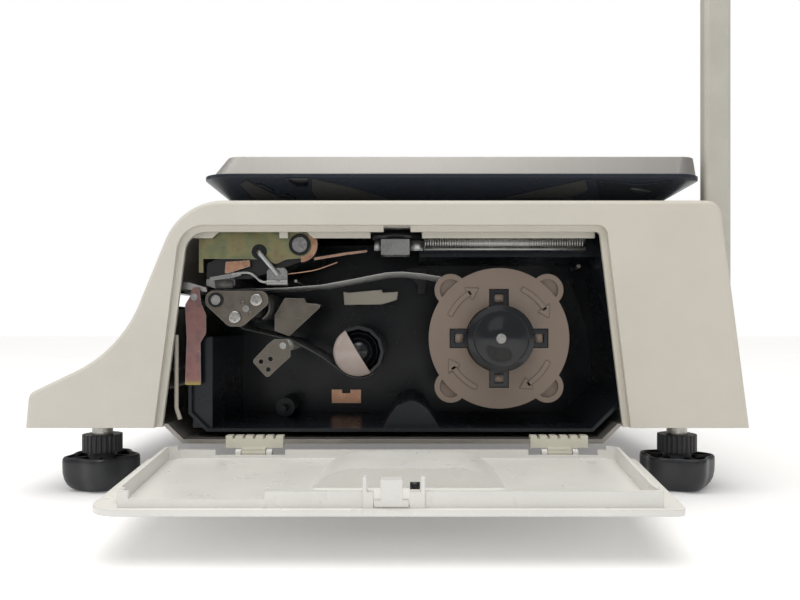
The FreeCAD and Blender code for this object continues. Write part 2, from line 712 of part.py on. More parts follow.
def pole():
    """Aluminium upright of rounded rectangular tube."""
    x = (at(POLE_DEPTH[1]), at(POLE_DEPTH[0]))
    outer = plan_plate(x, POLE_Y, POLE_Z, 3.0)
    t = POLE_WALL
    inner_z = (POLE_Z[0] - 1.0, POLE_Z[1] + 1.0)
    tube_wall = outer.cut(plan_plate((x[0] + t, x[1] - t), (POLE_Y[0] + t, POLE_Y[1] - t), inner_z, 1.6))
    return tube_wall.cut(pole_screw_holes())


def display_section(grow, y):
    """Rounded block of the display head between two values of Y."""
    x = (DISPLAY_X[0] - grow, DISPLAY_X[1] + grow)
    z = (DISPLAY_Z[0] - grow, DISPLAY_Z[1] + grow)
    points = [Vector(x[0], y[0], z[0]), Vector(x[0], y[0], z[1])]
    points += [Vector(x[1], y[0], z[1]), Vector(x[1], y[0], z[0])]
    face = Part.Face(Part.Wire(rounded_edges(points, [8.0 + grow] * 4)))
    return face.extrude(Vector(0, y[1] - y[0], 0))


def window_block(y, grow):
    """The viewing window's block, in one cover of the display head."""
    x = (DISPLAY_X[0] + 14.0 - grow, DISPLAY_X[1] - 14.0 + grow)
    return box(x, y, (DISPLAY_Z[0] + 16.0 - grow, DISPLAY_Z[1] - 14.0 + grow))


def display_covers():
    """Operator and customer halves of the display head, parted at mid thickness."""
    t = DISPLAY_WALL
    middle = (DISPLAY_Y[0] + DISPLAY_Y[1]) / 2
    hollow = display_section(-t, (DISPLAY_Y[0] + t, DISPLAY_Y[1] - t))
    x = (at(POLE_DEPTH[1]), at(POLE_DEPTH[0]))
    way = plan_plate(x, POLE_Y, (DISPLAY_Z[0] - 5.0, DISPLAY_Z[0] + 10.0), 3.0)
    halves = []
    for y in ((DISPLAY_Y[0], middle), (middle, DISPLAY_Y[1])):
        half = display_section(0.0, y).cut(hollow).cut(way)
        halves.append(half.cut(window_block((DISPLAY_Y[0] - 1.0, DISPLAY_Y[1] + 1.0), 0.0)))
    return Part.makeCompound(halves)


def display_windows():
    """Clear windows with the display glass behind them, one on each side of the head."""
    t = DISPLAY_WALL
    front = window_block((DISPLAY_Y[0] + 0.4, DISPLAY_Y[0] + t + 1.0), 0.0)
    rear = window_block((DISPLAY_Y[1] - t - 1.0, DISPLAY_Y[1] - 0.4), 0.0)
    return Part.makeCompound([front, rear])


# ---------------------------------------------------------------- printer


def head_plate():
    """Zinc-plated side plate of the print head, turning on the head shaft."""
    corners = [(-114.4, 151.8), (-110.4, 156.0), (-44.5, 156.0, 8), (-44.5, 141.0, 6)]
    corners += [(-62.0, 139.5, 4), (-67.9, 136.6, 3), (-74.0, 139.6, 4), (-111.8, 140.0)]
    corners += [(-111.8, 131.5), (-114.4, 131.5)]
    depths = HEAD_PLATE_DEPTH
    plate = slab(corners, depths)
    plate = plate.cut(rod(HEAD_AXIS, HEAD_SHAFT_R + RUN_FIT, depths))
    return plate.cut(rod(WIRE_AXIS, WIRE_R + RUN_FIT, depths))


def head_arm():
    """Moulded arm of the print head, from its shaft to the head bar."""
    corners = [(-110.5, 128.0, 1), (-110.5, 137.0, 3), (-84.0, 151.0, 6), (-60.0, 155.0, 4)]
    corners += [(-45.0, 155.0, 6), (-45.0, 141.5, 6), (-66.0, 134.0, 6), (-84.0, 128.0, 3)]
    arm = slab(corners, HEAD_ARM_DEPTH)
    return arm.cut(rod(HEAD_AXIS, HEAD_SHAFT_R + RUN_FIT, HEAD_ARM_DEPTH))


def thermal_head():
    """Aluminium-backed thermal bar that presses the label on the platen."""
    bottom = PLATEN_AXIS[1] + PLATEN_R + 0.3 + PAPER + 0.3
    corners = [(-111.5, bottom + 1.6), (-111.5, 128.0), (-94.0, 128.0), (-94.0, bottom + 1.6)]
    corners += [(-98.0, bottom), (-107.0, bottom)]
    return slab(corners, PRINT_WIDTH)


def head_shaft():
    """Steel shaft that the print head turns on, with its retaining ring."""
    shaft = rod(HEAD_AXIS, HEAD_SHAFT_R, (12.6, BAY_BACK + 4.0))
    ring = rod(HEAD_AXIS, 6.3, (13.0, 13.8))
    return shaft.fuse(ring)


def release_wire():
    """Bent wire handle of the print head's catch."""
    y, z = WIRE_AXIS
    points = [Vector(at(HEAD_PLATE_DEPTH[1] + 0.6), y, z), Vector(at(12.2), y, z)]
    points += [Vector(at(12.2), WIRE_END[0], WIRE_END[1])]
    return tube_path(points, WIRE_R, 2.2)


def peel_bar():
    """Bright bar over which the liner is peeled, from the nip to the label slot."""
    return strip([(-125.0, 119.6), (-112.0, 118.6)], 1.2, PRINT_WIDTH)


def side_bracket():
    """Three-cornered bracket that holds the near ends of the platen and feed roller."""
    corners = [(-110.5, 120.6, 5), (-72.0, 120.6, 5), (-73.0, 112.0, 4), (-88.0, 99.0, 5)]
    corners += [(-96.5, 99.0, 5), (-110.5, 112.0, 4)]
    plate = slab(corners, BRACKET_DEPTH)
    for axis, radius in [(PLATEN_AXIS, PLATEN_SHAFT_R + RUN_FIT), (FEED_AXIS, PIVOT_R)]:
        plate = plate.cut(rod(axis, radius, BRACKET_DEPTH))
    for axis in TIE_RODS:
        plate = plate.cut(rod(axis, TIE_R, BRACKET_DEPTH))
    return plate


def tie_rods():
    """Two long screws that stand the side bracket off the bay wall."""
    rods = []
    for axis in TIE_RODS:
        shank = rod(axis, TIE_R, (BRACKET_DEPTH[0], BAY_BACK + BAY_WALL))
        head = rod(axis, 3.9, (BRACKET_DEPTH[0] - 1.8, BRACKET_DEPTH[0]))
        spacer = rod(axis, 3.0, (BRACKET_DEPTH[1], BAY_BACK))
        rods.append(fuse([shank, head, spacer]))
    return Part.makeCompound(rods)


def platen_roller():
    """Rubber-covered platen that feeds the labels."""
    return tube(PLATEN_AXIS, PLATEN_R, PLATEN_SHAFT_R, ROLLER_DEPTH)


def platen_shaft():
    """Steel shaft of the platen, through the bay wall to its gear."""
    return rod(PLATEN_AXIS, PLATEN_SHAFT_R, (13.4, PULLEY_DEPTH[1] + 0.6))


def feed_roller():
    """Ribbed feed roller, free on its fixed spindle."""
    body = tube(FEED_AXIS, FEED_R, PIVOT_R + RUN_FIT, ROLLER_DEPTH)
    grooves = []
    for i in range(8):
        start = 22.0 + i * 7.6
        grooves.append(tube(FEED_AXIS, FEED_R + 1.0, FEED_R - 0.7, (start, start + 3.0)))
    return body.cut(Part.makeCompound(grooves))


def fixed_spindles():
    """Steel spindles of the feed roller, the tension roller and the release lever."""
    feed = rod(FEED_AXIS, PIVOT_R, (BRACKET_DEPTH[0] - 0.8, BAY_BACK + BAY_WALL))
    tension = rod(TENSION_AXIS, PIVOT_R, (13.6, BAY_BACK + BAY_WALL))
    lever = rod(LEVER_AXIS, PIVOT_R, (LEVER_DEPTH[0] - 0.4, BAY_BACK + BAY_WALL))
    collar = rod(LEVER_AXIS, 3.0, (LEVER_DEPTH[1] + 0.1, LEVER_DEPTH[1] + 4.0))
    return Part.makeCompound([feed, tension, lever.fuse(collar)])


def guide_plate():
    """Grey sheet guide on a flange from the bay wall."""
    corners = [(-71.4, 106.0), (-65.1, 116.8, 1), (-53.0, 116.5, 1), (-51.5, 113.4), (-42.8, 112.5)]
    corners += [(-43.4, 110.6), (-62.4, 92.9, 1), (-71.4, 96.4)]
    plate = slab(corners, (30.0, 31.5))
    flange = strip([(-62.0, 115.2), (-52.6, 112.4), (-44.5, 111.9)], 1.2, (31.0, BAY_BACK))
    return plate.fuse(flange).removeSplitter()


def roller_bracket():
    """Pressed bracket at the near end of the tension roller."""
    corners = [(-82.4, 78.0, 2), (-72.4, 88.6, 0), (-69.0, 91.2, 2), (-61.7, 91.4, 2)]
    corners += [(-59.2, 86.8, 2), (-59.2, 80.6, 2), (-63.0, 77.4, 2), (-73.2, 67.7, 2)]
    plate = slab(corners, (15.0, 16.4))
    plate = plate.cut(rod(TENSION_AXIS, PIVOT_R, (14.0, 17.0)))
    for hole in ((-77.0, 77.8), (-72.6, 73.0), (-71.3, 79.3)):
        plate = plate.cut(rod(hole, 1.5, (14.0, 17.0)))
    return plate


def tension_roller():
    """White roller that leads the liner down to the rewinder."""
    return tube(TENSION_AXIS, TENSION_R, PIVOT_R + RUN_FIT, ROLLER_DEPTH)


def release_lever():
    """Zinc-plated lever that hangs beside the bay's left post."""
    y, z = LEVER_AXIS
    corners = [(y - 1.0, 122.6, 1.5), (y + 3.0, 122.6, 1.5), (y + 4.0, 113.0, 3), (-109.0, 106.0, 4)]
    corners += [(-109.0, 95.0, 4), (-112.4, 89.5, 3), (-112.1, 64.0, 1), (-121.6, 64.0, 1)]
    corners += [(-120.6, 92.0, 3), (-121.6, 112.0, 3), (-118.6, 117.0, 2)]
    return slab(corners, LEVER_DEPTH).cut(rod(LEVER_AXIS, PIVOT_R + RUN_FIT, LEVER_DEPTH))


def lift_rod():
    """Plain vertical rod with a bent foot, clear of the bay's left wall."""
    x = at(12.0)
    points = [Vector(x, -127.2, 93.9), Vector(x, -127.2, 50.0), Vector(x, -125.0, 43.2)]
    return tube_path(points, 1.3, 4.0)


# ---------------------------------------------------------------- drive


def motor_axis():
    """Y and Z of the motor, one centre distance from the platen."""
    reach = GEAR_MODULE * (PLATEN_TEETH + PINION_TEETH) / 2
    return (
        PLATEN_AXIS[0] + reach * math.cos(MOTOR_ANGLE),
        PLATEN_AXIS[1] + reach * math.sin(MOTOR_ANGLE),
    )


def platen_gear():
    """Gear and belt pulley in one piece, fixed on the platen shaft."""
    body = gear(PLATEN_AXIS, PLATEN_TEETH, GEAR_DEPTH, PLATEN_SHAFT_R, MOTOR_ANGLE)
    return body.fuse(tube(PLATEN_AXIS, PLATEN_PULLEY_R, PLATEN_SHAFT_R, PULLEY_DEPTH))


def motor_pinion():
    """Pinion and shaft of the stepper motor."""
    axis = motor_axis()
    gap = math.pi / PINION_TEETH
    teeth = gear(axis, PINION_TEETH, GEAR_DEPTH, 1.0, MOTOR_ANGLE + math.pi + gap)
    shaft = rod(axis, MOTOR_SHAFT_R, (GEAR_DEPTH[0], MOTOR_DEPTH[0] + 8.0))
    return teeth.fuse(shaft).removeSplitter()


def drive_motor():
    """Square stepper motor behind the drive plate."""
    y, z = motor_axis()
    half = MOTOR_SIZE / 2
    chamfer = 4.0
    corners = []
    for sy, sz in ((-1, -1), (-1, 1), (1, 1), (1, -1)):
        first = (y + sy * half, z + sz * (half - chamfer))
        second = (y + sy * (half - chamfer), z + sz * half)
        corners += [first, second] if sy * sz < 0 else [second, first]
    body = slab(corners, MOTOR_DEPTH)
    return body.cut(rod((y, z), MOTOR_SHAFT_R + RUN_FIT, (MOTOR_DEPTH[0], MOTOR_DEPTH[0] + 9.0)))


def drive_plate():
    """Steel plate on three spacers that carries the motor."""
    y, z = motor_axis()
    low, high = z - MOTOR_SIZE / 2 - 3.0, z + MOTOR_SIZE / 2 + 19.0
    corners = [(y - 21.0, low, 4.0), (y - 21.0, high, 4.0), (y + 24.0, high, 4.0), (y + 24.0, low, 4.0)]
    plate = slab(corners, DRIVE_PLATE_DEPTH)
    plate = plate.cut(rod((y, z), 4.0, DRIVE_PLATE_DEPTH))
    plate = plate.cut(rod(PLATEN_AXIS, 10.0, DRIVE_PLATE_DEPTH))
    spacers = []
    for place in ((y - 17.0, low + 4.0), (y + 20.0, low + 4.0), (y + 10.0, high - 4.0)):
        spacers.append(rod(place, 2.5, (BAY_BACK + BAY_WALL, DRIVE_PLATE_DEPTH[1])))
    return plate.fuse(spacers).removeSplitter()


def belt_run():
    """Angle of the belt's line of centres, and the angle that its sides open by."""
    dy = REWIND_AXIS[0] - PLATEN_AXIS[0]
    dz = REWIND_AXIS[1] - PLATEN_AXIS[1]
    reach = math.hypot(dy, dz)
    return math.atan2(dz, dy), math.asin((REWIND_PULLEY_R - PLATEN_PULLEY_R) / reach)


def drive_belt():
    """Belt from the platen's pulley to the rewinder's."""
    gap = 0.15
    thick = 1.4
    outer = belt_loop(gap + thick)
    return outer.cut(belt_loop(gap))


def belt_loop(grow):
    """Solid inside a belt line that lies this far outside both pulleys."""
    line, opening = belt_run()
    small = PLATEN_PULLEY_R + grow
    large = REWIND_PULLEY_R + grow
    up = line + math.pi / 2 + opening
    down = line - math.pi / 2 - opening

    def on(axis, radius, angle):
        return Vector(0, axis[0] + radius * math.cos(angle), axis[1] + radius * math.sin(angle))

    a, b = on(PLATEN_AXIS, small, up), on(REWIND_AXIS, large, up)
    c, d = on(REWIND_AXIS, large, down), on(PLATEN_AXIS, small, down)
    edges = [
        Part.LineSegment(a, b).toShape(),
        Part.Arc(b, on(REWIND_AXIS, large, line), c).toShape(),
        Part.LineSegment(c, d).toShape(),
        Part.Arc(d, on(PLATEN_AXIS, small, line + math.pi), a).toShape(),
    ]
    loop = Part.Face(Part.Wire(edges)).extrude(Vector(PULLEY_DEPTH[1] - PULLEY_DEPTH[0] - 0.8, 0, 0))
    loop.translate(Vector(at(PULLEY_DEPTH[1] - 0.4), 0, 0))
    return loop


def rewind_pulley():
    """Pulley of the rewinder with its shaft."""
    wheel = rod(REWIND_AXIS, REWIND_PULLEY_R, PULLEY_DEPTH)
    return wheel.fuse(rod(REWIND_AXIS, REWIND_SHAFT_R, (REWIND_DEPTH[0] + 12.2, PULLEY_DEPTH[1])))


def rewind_spindle():
    """Twelve-sided winding core and the half-round liner clip in its mouth."""
    side = math.pi / 6
    flat_r = REWIND_R / math.cos(side / 2)
    corners = []
    for i in range(12):
        angle = side * (i + 0.5)
        y = REWIND_AXIS[0] + flat_r * math.cos(angle)
        corners.append((y, REWIND_AXIS[1] + flat_r * math.sin(angle)))
    core = slab(corners, REWIND_DEPTH)
    mouth = rod(REWIND_AXIS, REWIND_R - 2.2, (REWIND_DEPTH[0], REWIND_DEPTH[0] + 12.0))
    core = core.cut(mouth).cut(rod(REWIND_AXIS, REWIND_SHAFT_R, REWIND_DEPTH))
    dome = Part.makeSphere(REWIND_R + 2.0, Vector(at(REWIND_DEPTH[0] + 13.5), *REWIND_AXIS))
    dome = dome.common(rod(REWIND_AXIS, REWIND_R - 2.4, (REWIND_DEPTH[0] - 6.0, REWIND_DEPTH[0] + 11.9)))
    half = bay_box((0.0, 60.0), (REWIND_AXIS[0] - 30.0, REWIND_AXIS[0]), (60.0, 110.0))
    half.rotate(Vector(0, *REWIND_AXIS), Vector(1, 0, 0), 31.0)
    return Part.makeCompound([core, dome.common(half)])


# ---------------------------------------------------------------- labels


def spool_axle():
    """Fixed steel axle of the label spool, shouldered on the bay wall."""
    axle = rod(SPOOL_AXIS, AXLE_R, (10.6, BAY_BACK + 8.0))
    return axle.fuse(rod(SPOOL_AXIS, 9.0, (BAY_BACK - 6.0, BAY_BACK)))


def spool_hub():
    """Black spindle with its domed knob, four lugs and the rear flange."""
    front, back = HUB_DEPTH
    hub = rod(SPOOL_AXIS, HUB_R, (front, back))
    hub = hub.makeFillet(4.0, [edge for edge in hub.Edges if edge.BoundBox.XMin > at(front) - 0.01])
    flange = rod(SPOOL_AXIS, SPOOL_R - 3.0, (back - 2.5, back))
    hub = hub.fuse(flange)
    lug_depths = (FLANGE_DEPTH[0] + 0.4, FLANGE_DEPTH[1] + 1.0)
    for turn in range(4):
        y, z = SPOOL_AXIS
        lug = bay_box(lug_depths, (y - LUG_HALF, y + LUG_HALF), (z + HUB_R - 2.0, z + LUG_REACH))
        window_z = (z + HUB_R + 1.0, z + LUG_REACH - 2.4)
        lug = lug.cut(bay_box((lug_depths[0], lug_depths[0] + 2.2), (y - 2.6, y + 2.6), window_z))
        lug.rotate(Vector(0, y, z), Vector(1, 0, 0), 90.0 * turn)
        hub = hub.fuse(lug)
    return hub.cut(rod(SPOOL_AXIS, AXLE_R + RUN_FIT, (front - 1.0, back + 1.0))).removeSplitter()


def spool_flange():
    """Pull-off front disc of the spool with four looped ears and four lug notches."""
    y, z = SPOOL_AXIS
    disc = rod(SPOOL_AXIS, SPOOL_R, FLANGE_DEPTH)
    ears = []
    holes = []
    for turn in range(4):
        angle = math.radians(45.0 + 90.0 * turn)
        place = (y + EAR_REACH * math.cos(angle), z + EAR_REACH * math.sin(angle))
        ears.append(rod(place, EAR_R, FLANGE_DEPTH))
        hole = rod(place, EAR_R - 3.2, FLANGE_DEPTH).cut(rod(SPOOL_AXIS, SPOOL_R - 0.1, FLANGE_DEPTH))
        holes.append(hole)
    disc = disc.fuse(ears).cut(Part.makeCompound(holes))
    disc = disc.cut(rod(SPOOL_AXIS, HUB_R + 0.4, FLANGE_DEPTH))
    for turn in range(4):
        notch_y = (y - LUG_HALF - 0.4, y + LUG_HALF + 0.4)
        notch = bay_box(FLANGE_DEPTH, notch_y, (z + HUB_R - 2.0, z + LUG_REACH + 0.4))
        notch.rotate(Vector(0, y, z), Vector(1, 0, 0), 90.0 * turn)
        disc = disc.cut(notch)
    return disc.removeSplitter()


def label_roll():
    """Wound labels on their card core."""
    return tube(SPOOL_AXIS, ROLL_R, HUB_R + 0.1, (PRINT_WIDTH[0] + 8.0, HUB_DEPTH[1] - 3.0))


def label_web():
    """Label strip from the roll, over the guide, to the nip under the print head."""
    top = PLATEN_AXIS[1] + PLATEN_R + 0.3
    points = [(52.0, 126.1), (32.8, 129.6), (20.5, 131.6), (8.3, 132.8), (-2.0, 132.2)]
    points += [(-23.2, 128.0), (-42.0, 124.6), (-64.0, 122.8), (-96.0, top), (-108.0, top)]
    return strip(points[::-1], PAPER, LABEL_DEPTH)


def liner_web():
    """Spent liner from the peel bar, over the tension roller, round the rewinder."""
    over = arc_points(TENSION_AXIS, TENSION_R + 0.3, 105.0, 68.0, 4)
    under = arc_points(REWIND_AXIS, REWIND_R + 1.2, 222.0, 300.0, 8)
    points = [(-99.0, 103.0), (-90.6, 97.4)] + over + [(-42.0, 80.1)] + under
    return strip(points, PAPER, LABEL_DEPTH)


def label_sensor():
    """Reflective label sensor on the bay's rear wall."""
    plate = bay_box((BAY_BACK - 2.0, BAY_BACK), (-42.8, -22.0), (44.0, 53.6))
    notch = bay_box((BAY_BACK - 3.0, BAY_BACK + 1.0), (-35.5, -29.5), (51.0, 54.0))
    return plate.cut(notch)


# ---------------------------------------------------------------- door


def door_strike():
    """Bright steel keeper of the door latch, hung from the case top."""
    y = (LATCH_Y - 10.5, LATCH_Y + 6.4)
    bar = bay_box((6.2, 9.8), y, (141.6, 150.8))
    cheeks = [bay_box((9.8, 20.0), (edge, edge + 1.5), (141.6, 150.8)) for edge in (y[0], y[1] - 1.5)]
    back = bay_box((18.0, 20.0), y, (141.6, CASE_TOP - WALL - 0.1))
    return fuse([bar, back] + cheeks)


def ceiling_rail():
    """Ribbed steel rail along the top of the bay, hung from the case top."""
    rail = bay_box((13.2, 21.0), (21.5, 118.9), (145.1, 152.9))
    for i in range(5):
        level = 146.4 + i * 1.3
        rail = rail.cut(bay_box((12.0, 13.6), (22.5, 117.9), (level, level + 0.5)))
    hangers = []
    for y in (34.0, 68.0, 102.0):
        hangers.append(bay_box((16.0, 18.0), (y, y + 8.0), (152.0, CASE_TOP - WALL - 0.1)))
    return fuse([rail] + hangers)


def door_plate(margin, foot, depths):
    """A plate of the door's outline, level at its foot, with the tub's slanting lower corners."""
    corners = inset(DOORWAY, [margin, margin, margin, 0.0])
    rise = corners[1][1] - corners[0][1]
    bend = CASE_BASE + 0.6
    left = corners[0][0] + (corners[1][0] - corners[0][0]) * (bend - corners[0][1]) / rise
    right = corners[3][0] + (corners[2][0] - corners[3][0]) * (bend - corners[0][1]) / rise
    drop = bend - foot
    ends = [(left + drop, foot), (left, bend), corners[1], corners[2], (right, bend)]
    return slab(ends + [(right - drop, foot)], depths)


def scoop(y, z, base, top, floor):
    """Arched block that stands in from the door's skin; base, top and floor are depths."""
    low, high = y
    shoulder = SCOOP_SHOULDER
    knee = base + (top - base) * 0.72
    sides = []
    for edge, step in ((low, shoulder), (high, -shoulder)):
        foot = Vector(at(base), edge, z[0])
        middle = Vector(at(knee), edge + step * 0.42, z[0])
        crown = Vector(at(top), edge + step, z[0])
        sides.append((foot, middle, crown))
    (foot_a, middle_a, crown_a), (foot_b, middle_b, crown_b) = sides
    floor_a = Vector(at(floor), low, z[0])
    floor_b = Vector(at(floor), high, z[0])
    edges = [
        Part.Arc(foot_a, middle_a, crown_a).toShape(),
        Part.LineSegment(crown_a, crown_b).toShape(),
        Part.Arc(crown_b, middle_b, foot_b).toShape(),
        Part.LineSegment(foot_b, floor_b).toShape(),
        Part.LineSegment(floor_b, floor_a).toShape(),
        Part.LineSegment(floor_a, foot_a).toShape(),
    ]
    return Part.Face(Part.Wire(edges)).extrude(Vector(0, 0, z[1] - z[0]))


def door_rim():
    """Wall inside the door's edge, low beside the print head and cut away at the hinges."""
    rim = door_plate(DOOR_RIM_INSET - 2.2, DOOR_FOOT + 4.0, (DOOR_THICK - 0.1, DOOR_RIM_DEPTH))
    rim = rim.cut(door_plate(DOOR_RIM_INSET, DOOR_FOOT + 6.0, (0.0, DOOR_RIM_DEPTH + 1.0)))
    rim = rim.cut(bay_box((0.0, 12.0), (-108.0, 118.0), (140.0, 151.4)))
    rim = rim.fuse(bay_box((DOOR_THICK - 0.1, DOOR_RIM_DEPTH), (-109.0, 119.0), (151.4, 153.6)))
    rim = rim.cut(bay_box((7.0, 12.0), (-150.0, 150.0), (20.0, 36.0)))
    for y in HINGES_Y:
        rim = rim.cut(bay_box((DOOR_THICK + 1.3, 12.0), (y - 20.0, y + 20.0), (20.0, 37.0)))
    return rim.cut(bay_box((6.4, 12.0), DOOR_LOW_RIM_Y, (149.0, 160.0)))


def door_panel():
    """Moulded printer door with its rim, finger scoop, latch block and hinge lugs."""
    plate = door_plate(DOOR_GAP, DOOR_FOOT, (0.0, DOOR_THICK))
    plate = plate.cut(door_plate(DOOR_RIM_INSET, DOOR_FOOT + 6.0, (DOOR_SKIN, DOOR_THICK + 1.0)))
    top = DOOR_SKIN + SCOOP_RISE
    wall = 2.2
    inner_y = (SCOOP_Y[0] + wall, SCOOP_Y[1] - wall)
    inner_z = (SCOOP_Z[0] + wall, SCOOP_Z[1] - wall)
    shape = fuse([plate, door_rim(), scoop(SCOOP_Y, SCOOP_Z, DOOR_SKIN, top, DOOR_SKIN - 0.5)])
    shape = shape.cut(scoop(inner_y, inner_z, DOOR_SKIN - wall, top - wall, -1.0))
    shape = shape.fuse(latch_block()).cut(latch_way())
    for y in HINGES_Y:
        for offset in (-10.7, 7.4):
            shape = shape.fuse(hinge_lug(y + offset))
    for y in HINGES_Y:
        shape = shape.cut(hinge_pin(y, HINGE_PIN_R + RUN_FIT, 15.0))
    return swing_open(shape.removeSplitter())


def hinge_pin(y, radius, half):
    """A bar on the hinge line, this far to each side of a hinge."""
    return Part.makeCylinder(radius, 2 * half, Vector(at(HINGE_DEPTH), y - half, HINGE_Z), Vector(0, 1, 0))


def latch_way():
    """Space in the latch block where the hook slides."""
    way = bay_box((DOOR_THICK + 0.4, 20.0), (LATCH_Y - 8.6, LATCH_Y + 6.6), (148.0, 157.6))
    past_keeper = bay_box((5.8, 20.0), (LATCH_Y - 11.0, LATCH_Y - 8.5), (148.0, 151.2))
    return way.fuse(past_keeper)


def latch_block():
    """Guide of the latch at the door's free edge, with two ears."""
    y = (LATCH_Y - 13.0, LATCH_Y + 13.0)
    block = bay_box((DOOR_SKIN - 0.5, DOOR_RIM_DEPTH), y, (149.4, LATCH_TOP))
    ears = []
    for edge in (y[0], y[1] - LATCH_EAR):
        ears.append(bay_box((DOOR_RIM_DEPTH - 0.5, 15.8), (edge, edge + LATCH_EAR), (151.2, LATCH_TOP)))
    return fuse([block] + ears)


def hinge_lug(y):
    """A lug of the door round the hinge pin, 3.3 mm wide from this Y."""
    ring = Part.makeCylinder(2.3, 3.3, Vector(at(HINGE_DEPTH), y, HINGE_Z), Vector(0, 1, 0))
    return ring.fuse(bay_box((0.0, DOOR_THICK), (y, y + 3.3), (HINGE_Z, DOOR_FOOT + 1.0)))


def swing_open(shape):
    """Turn a shape drawn with the door shut to where it is with the door hanging open."""
    shape.rotate(Vector(at(HINGE_DEPTH), 0, HINGE_Z), Vector(0, 1, 0), 90.0)
    return shape


def door_latch():
    """Sprung hook of the door, held in the latch block."""
    y = (LATCH_Y - 5.6, LATCH_Y + 3.6)
    slide = bay_box((DOOR_THICK + 0.6, 14.6), y, (151.4, 154.8))
    hook = bay_box((11.0, 14.6), y, (148.6, 151.5))
    wings = bay_box((DOOR_THICK + 0.6, 6.0), (LATCH_Y - 8.2, LATCH_Y + 6.2), (151.4, 154.8))
    return swing_open(fuse([slide, hook, wings]))


def hinge_brackets():
    """Two moulded hinge blocks clipped on the tub's front edge, with toothed tops."""
    clip = (TUB_FRONT, 20.0)
    tub_wall = slab(tub_outline(0.0), clip).cut(slab(tub_outline(-TUB_THICK), clip))
    blocks = []
    for y in HINGES_Y:
        body = bay_box((4.2, 10.0), (y - 17.0, y + 17.0), (27.2, 34.4))
        for i in range(5):
            start = y - 13.0 + i * 6.0
            body = body.cut(bay_box((3.0, 11.0), (start, start + 1.6), (32.6, 35.0)))
        knuckle = Part.makeCylinder(2.3, 14.0, Vector(at(HINGE_DEPTH), y - 7.1, HINGE_Z), Vector(0, 1, 0))
        neck = bay_box((HINGE_DEPTH - 2.0, HINGE_DEPTH + 2.3), (y - 7.1, y + 6.9), (HINGE_Z, 27.4))
        body = fuse([body, knuckle, neck]).cut(tub_wall)
        blocks.append(body.cut(hinge_pin(y, HINGE_PIN_R, 15.0)))
    return Part.makeCompound(blocks)


def hinge_pins():
    """Steel pins through the door's lugs and the hinge blocks."""
    return Part.makeCompound([hinge_pin(y, HINGE_PIN_R, 11.0) for y in HINGES_Y])


# ---------------------------------------------------------------- feet


def foot_places():
    """Plan positions of the feet: front then rear, printer side then far side."""
    x_places = (SIDE - FOOT_INSET, FAR_SIDE + FOOT_INSET)
    return [(x, y) for y in FOOT_Y for x in x_places]


def foot(x, y):
    """Five-lobed levelling foot moulded on its steel stud."""
    lobes = [post(x, y, FOOT_R - 5.0, (3.0, FOOT_TOP))]
    for i in range(5):
        angle = math.radians(90.0 + 72.0 * i)
        reach = FOOT_R - 7.0
        lobe_x = x + reach * math.cos(angle)
        lobe_y = y + reach * math.sin(angle)
        lobes.append(post(lobe_x, lobe_y, 7.0, (3.0, FOOT_TOP)))
    pad = Part.makeCone(FOOT_R - 8.0, FOOT_R - 5.0, 3.0, Vector(x, y, 0))
    knob = fuse(lobes + [pad, post(x, y, 8.0, (FOOT_TOP - 1.0, NUT_Z[0] - 0.3))])
    stud = post(x, y, STUD_R, (10.0, STUD_TOP))
    return Part.makeCompound([knob.cut(stud), stud])


def lock_nuts():
    """Knurled lock nuts on the foot studs."""
    nuts = []
    for x, y in foot_places():
        nut = post(x, y, NUT_R - 0.8, NUT_Z)
        ribs = []
        for i in range(24):
            angle = math.radians(15.0 * i)
            rib_x = x + (NUT_R - 1.0) * math.cos(angle)
            rib_y = y + (NUT_R - 1.0) * math.sin(angle)
            ribs.append(post(rib_x, rib_y, 1.0, NUT_Z))
        nut = fuse([nut] + ribs)
        nuts.append(nut.cut(post(x, y, STUD_R + RUN_FIT, (NUT_Z[0] - 1.0, NUT_Z[1] + 1.0))))
    return Part.makeCompound(nuts)


def build():
    """Make every sub-part and write each one to its own file."""
    makers = [
        upper_housing, base_pan, case_screws, compartment_liner, keypad_panel, label_exit_frame,
        platter, platter_carrier, load_cell, cell_brackets, bubble_level,
        main_board, power_supply, power_inlet, power_switch,
        pole, display_covers, display_windows,
        head_plate, head_arm, thermal_head, head_shaft, release_wire, peel_bar,
        side_bracket, tie_rods, platen_roller, platen_shaft, feed_roller, fixed_spindles,
        guide_plate, roller_bracket, tension_roller, release_lever, lift_rod,
        platen_gear, motor_pinion, drive_motor, drive_plate, drive_belt, rewind_pulley,
        rewind_spindle, spool_axle, spool_hub, spool_flange, label_roll, label_web, liner_web,
        label_sensor, door_strike, ceiling_rail, door_panel, door_latch, hinge_brackets,
        hinge_pins, lock_nuts,
    ]
    shapes = {maker.__name__: maker() for maker in makers}
    for name, place in zip(FOOT_NAMES, foot_places()):
        shapes[name] = foot(*place)
    os.makedirs("parts", exist_ok=True)
    for name, shape in shapes.items():
        shape.exportStep(os.path.join("parts", name + ".step"))
    return shapes


build()
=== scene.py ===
import json
import math

